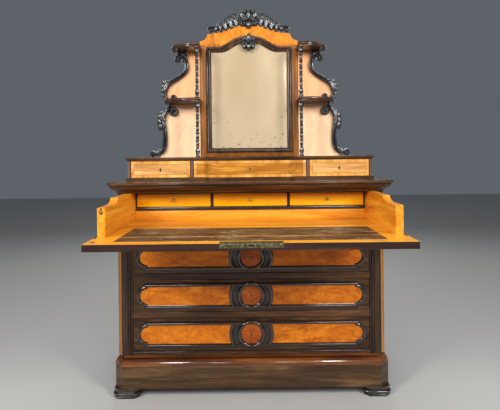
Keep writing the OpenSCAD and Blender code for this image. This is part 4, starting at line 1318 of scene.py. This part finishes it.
def make_scrolls():
    r = Relief(depth(0.4836))
    top, low, lower, foot = 1.6055, 1.369, 1.308, GRADIN_TOP
    upper = bezier((0.392, top), (0.352, top - 0.006), (0.326, top - 0.060),
                   (0.352, top - 0.096), 5)
    upper += bezier((0.352, top - 0.096), (0.380, top - 0.138), (0.488, top - 0.150),
                    (0.458, low), 6)[1:]
    r.stem(upper, [0.010, 0.0125, 0.014, 0.0135, 0.013, 0.013, 0.011, 0.007], 0.0215, 0.001,
           0.38, 70)
    r.volute(0.394, top - 0.022, 0.0195, 0.0225, 100, -1, 1.5)
    r.leaf(bowed((0.372, top + 0.004), (0.340, top - 0.024), 0.2), 0.009, 0.012, 0.012, 3)
    r.volute(0.416, low + 0.004, 0.0170, 0.0215, 20, 1, 1.4)
    r.stem([(0.462, low + 0.024), (0.452, low - 0.006), (0.434, low - 0.006),
            (0.424, low + 0.004)], [0.010, 0.0095, 0.007, 0.004], 0.016, 0.001, 0.3, 24)
    for a, b, bow, width in (((0.440, low + 0.076), (0.467, low + 0.106), 0.20, 0.012),
                             ((0.448, low + 0.058), (0.476, low + 0.082), 0.22, 0.013),
                             ((0.454, low + 0.040), (0.482, low + 0.056), 0.22, 0.012),
                             ((0.454, low + 0.022), (0.482, low + 0.028), 0.22, 0.011),
                             ((0.456, low + 0.004), (0.476, low - 0.008), 0.10, 0.009)):
        r.leaf(bowed(a, b, bow), width, 0.013, 0.008, 3)
    r.leaf([(0.430, low + 0.088), (0.452, low + 0.068), (0.462, low + 0.034),
            (0.458, low)], 0.012, 0.012, 0.0135, 5, 30)
    stem = bezier((0.446, lower), (0.496, lower - 0.060), (0.462, lower - 0.100),
                  (0.464, lower - 0.150), 5)
    stem += bezier((0.464, lower - 0.150), (0.466, lower - 0.216), (0.470, foot + 0.026),
                   (0.526, foot + 0.017), 6)[1:]
    r.stem(stem, [0.010, 0.0125, 0.0130, 0.0130, 0.0145, 0.0155, 0.015, 0.012], 0.0225,
           0.001, 0.38, 70)
    r.volute(0.416, lower - 0.016, 0.0265, 0.0250, 60, 1, 1.7)
    r.stem([(0.428, lower + 0.008), (0.448, lower + 0.006), (0.464, lower - 0.016)],
           [0.008, 0.010, 0.010], 0.018, 0.001, 0.3, 20)
    for a, b, bow, width in (((0.462, lower - 0.012), (0.486, lower - 0.040), -0.2, 0.010),
                             ((0.470, lower - 0.034), (0.499, lower - 0.064), -0.22, 0.012),
                             ((0.474, lower - 0.058), (0.500, lower - 0.092), -0.2, 0.012),
                             ((0.472, lower - 0.082), (0.494, lower - 0.120), -0.2, 0.011)):
        r.leaf(bowed(a, b, bow), width, 0.012, 0.008, 3)
    r.leaf([(0.462, lower - 0.014), (0.474, lower - 0.052), (0.468, lower - 0.100),
            (0.464, lower - 0.134)], 0.011, 0.012, 0.0135, 5, 30)
    r.volute(0.534, foot + 0.0195, 0.0190, 0.0240, 200, -1, 1.4)
    r.leaf(bowed((0.486, foot + 0.036), (0.521, foot + 0.030), 0.1), 0.009, 0.010, 0.014, 3)
    r.build("scrolls", "scroll_brackets")


def make_columns():
    shape = Shape()
    for z0, z1 in ((GRADIN_TOP, 1.332), (1.355, 1.620)):
        foot, cap = 0.052, 0.040
        profile = [(0.0125, 0), (0.0128, 0.003), (0.0118, 0.007), (0.0082, 0.011),
                   (0.0086, 0.014), (0.0112, 0.020), (0.0126, 0.029), (0.0115, 0.038),
                   (0.0080, 0.045), (0.0070, 0.048), (0.0084, 0.050), (0.0070, foot)]
        count = 5
        pitch = (z1 - z0 - foot - cap) / count
        for k in range(count):
            base = foot + k * pitch
            for f, q in ((0.03, 0.0066), (0.12, 0.0080), (0.35, 0.0088), (0.55, 0.0084),
                         (0.68, 0.0068), (0.71, 0.0062), (0.74, 0.0080), (0.79, 0.0104),
                         (0.85, 0.0112), (0.91, 0.0104), (0.96, 0.0080), (0.99, 0.0062)):
                profile.append((q, base + f * pitch))
        top = z1 - z0
        profile += [(0.0076, top - cap), (0.0086, top - 0.036), (0.0118, top - 0.030),
                    (0.0129, top - 0.022), (0.0116, top - 0.014), (0.0086, top - 0.010),
                    (0.0118, top - 0.006), (0.0129, top - 0.002), (0.0127, top)]

        def ribbed(t, along, top=top):
            near = min(along, top - along)
            return 1 - (0.09 * (1 - math.cos(8 * t)) / 2 if 0.012 < near < 0.044 else 0)
        lathe(shape, (COLUMN_X, depth(0.356), z0), profile, 32, "z", swell=ribbed)
    shape.mirror_x()
    shape.build("colonnettes", black, "case", "ebonised", ["columns"], angle=50)


make_crest()
make_cartouche()
make_scrolls()
make_columns()


# ---------------------------------------------------------------- camera, light and floor
CAMERA_BACK = 1.883  # from the carcass's front plane
CAMERA_SIDE = 0.001
CAMERA_HEIGHT = 1.05
LENS_MM = 30.816
SHIFT_DOWN = 0.0994  # the view is shifted down, in widths of the picture
ROLL = math.radians(0.6)
SENSOR_MM = 36
FLOOR_COLOUR = (0.44, 0.43, 0.41)
SKY_COLOUR = (0.74, 0.83, 0.95, 1)
SKY_STRENGTH = 0.15
AIM = (0, 0, 0.95)  # what the side lights point at


def set_camera():
    data = bpy.data.cameras.new("camera")
    data.sensor_width = SENSOR_MM
    data.lens = LENS_MM
    data.shift_y = -SHIFT_DOWN
    cam = bpy.data.objects.new("camera", data)
    cam.location = (CAMERA_SIDE, FRONT - CAMERA_BACK, CAMERA_HEIGHT)
    cam.rotation_euler = (math.radians(90), ROLL, 0)
    bpy.context.scene.collection.objects.link(cam)
    bpy.context.scene.camera = cam


def soft_light(name, place, target, size, power):
    data = bpy.data.lights.new(name, "AREA")
    data.shape = "RECTANGLE"
    data.size, data.size_y = size
    data.energy = power
    lamp = bpy.data.objects.new(name, data)
    lamp.location = place
    aim = Vector(target) - Vector(place)
    lamp.rotation_euler = aim.to_track_quat("-Z", "Y").to_euler()
    bpy.context.scene.collection.objects.link(lamp)


def set_stage():
    mesh = bpy.data.meshes.new("floor")
    half = 9
    mesh.from_pydata([(-half, -half, 0), (half, -half, 0), (half, half, 0), (-half, half, 0)],
                     [], [(0, 1, 2, 3)])
    floor = bpy.data.objects.new("floor", mesh)
    s = Shader("pale_floor")
    mesh.materials.append(s.finish(FLOOR_COLOUR, 0.6))
    bpy.context.scene.collection.objects.link(floor)
    world = bpy.data.worlds.new("studio")
    world.use_nodes = True
    sky = world.node_tree.nodes["Background"]
    sky.inputs[0].default_value = SKY_COLOUR
    sky.inputs[1].default_value = SKY_STRENGTH
    bpy.context.scene.world = world


set_camera()
set_stage()
bpy.context.scene.view_settings.view_transform = "Standard"
for row, (x, y, z), size, watts in (("", (2.5, -2.5, 2.6), (0.7, 1.2), 116),
                                    ("front_", (1.05, -3.1, 2.0), (0.6, 0.6), 20)):
    for side, sign in (("left", -1), ("right", 1)):
        soft_light(row + side, (sign * x, y, z), AIM, size, watts)
soft_light("top", (0, -0.9, 3.6), (0, 0, 0.8), (2.0, 1.4), 24)
soft_light("back", (0, 3.4, 2.2), (0, 0, 1.0), (3.0, 1.6), 48)
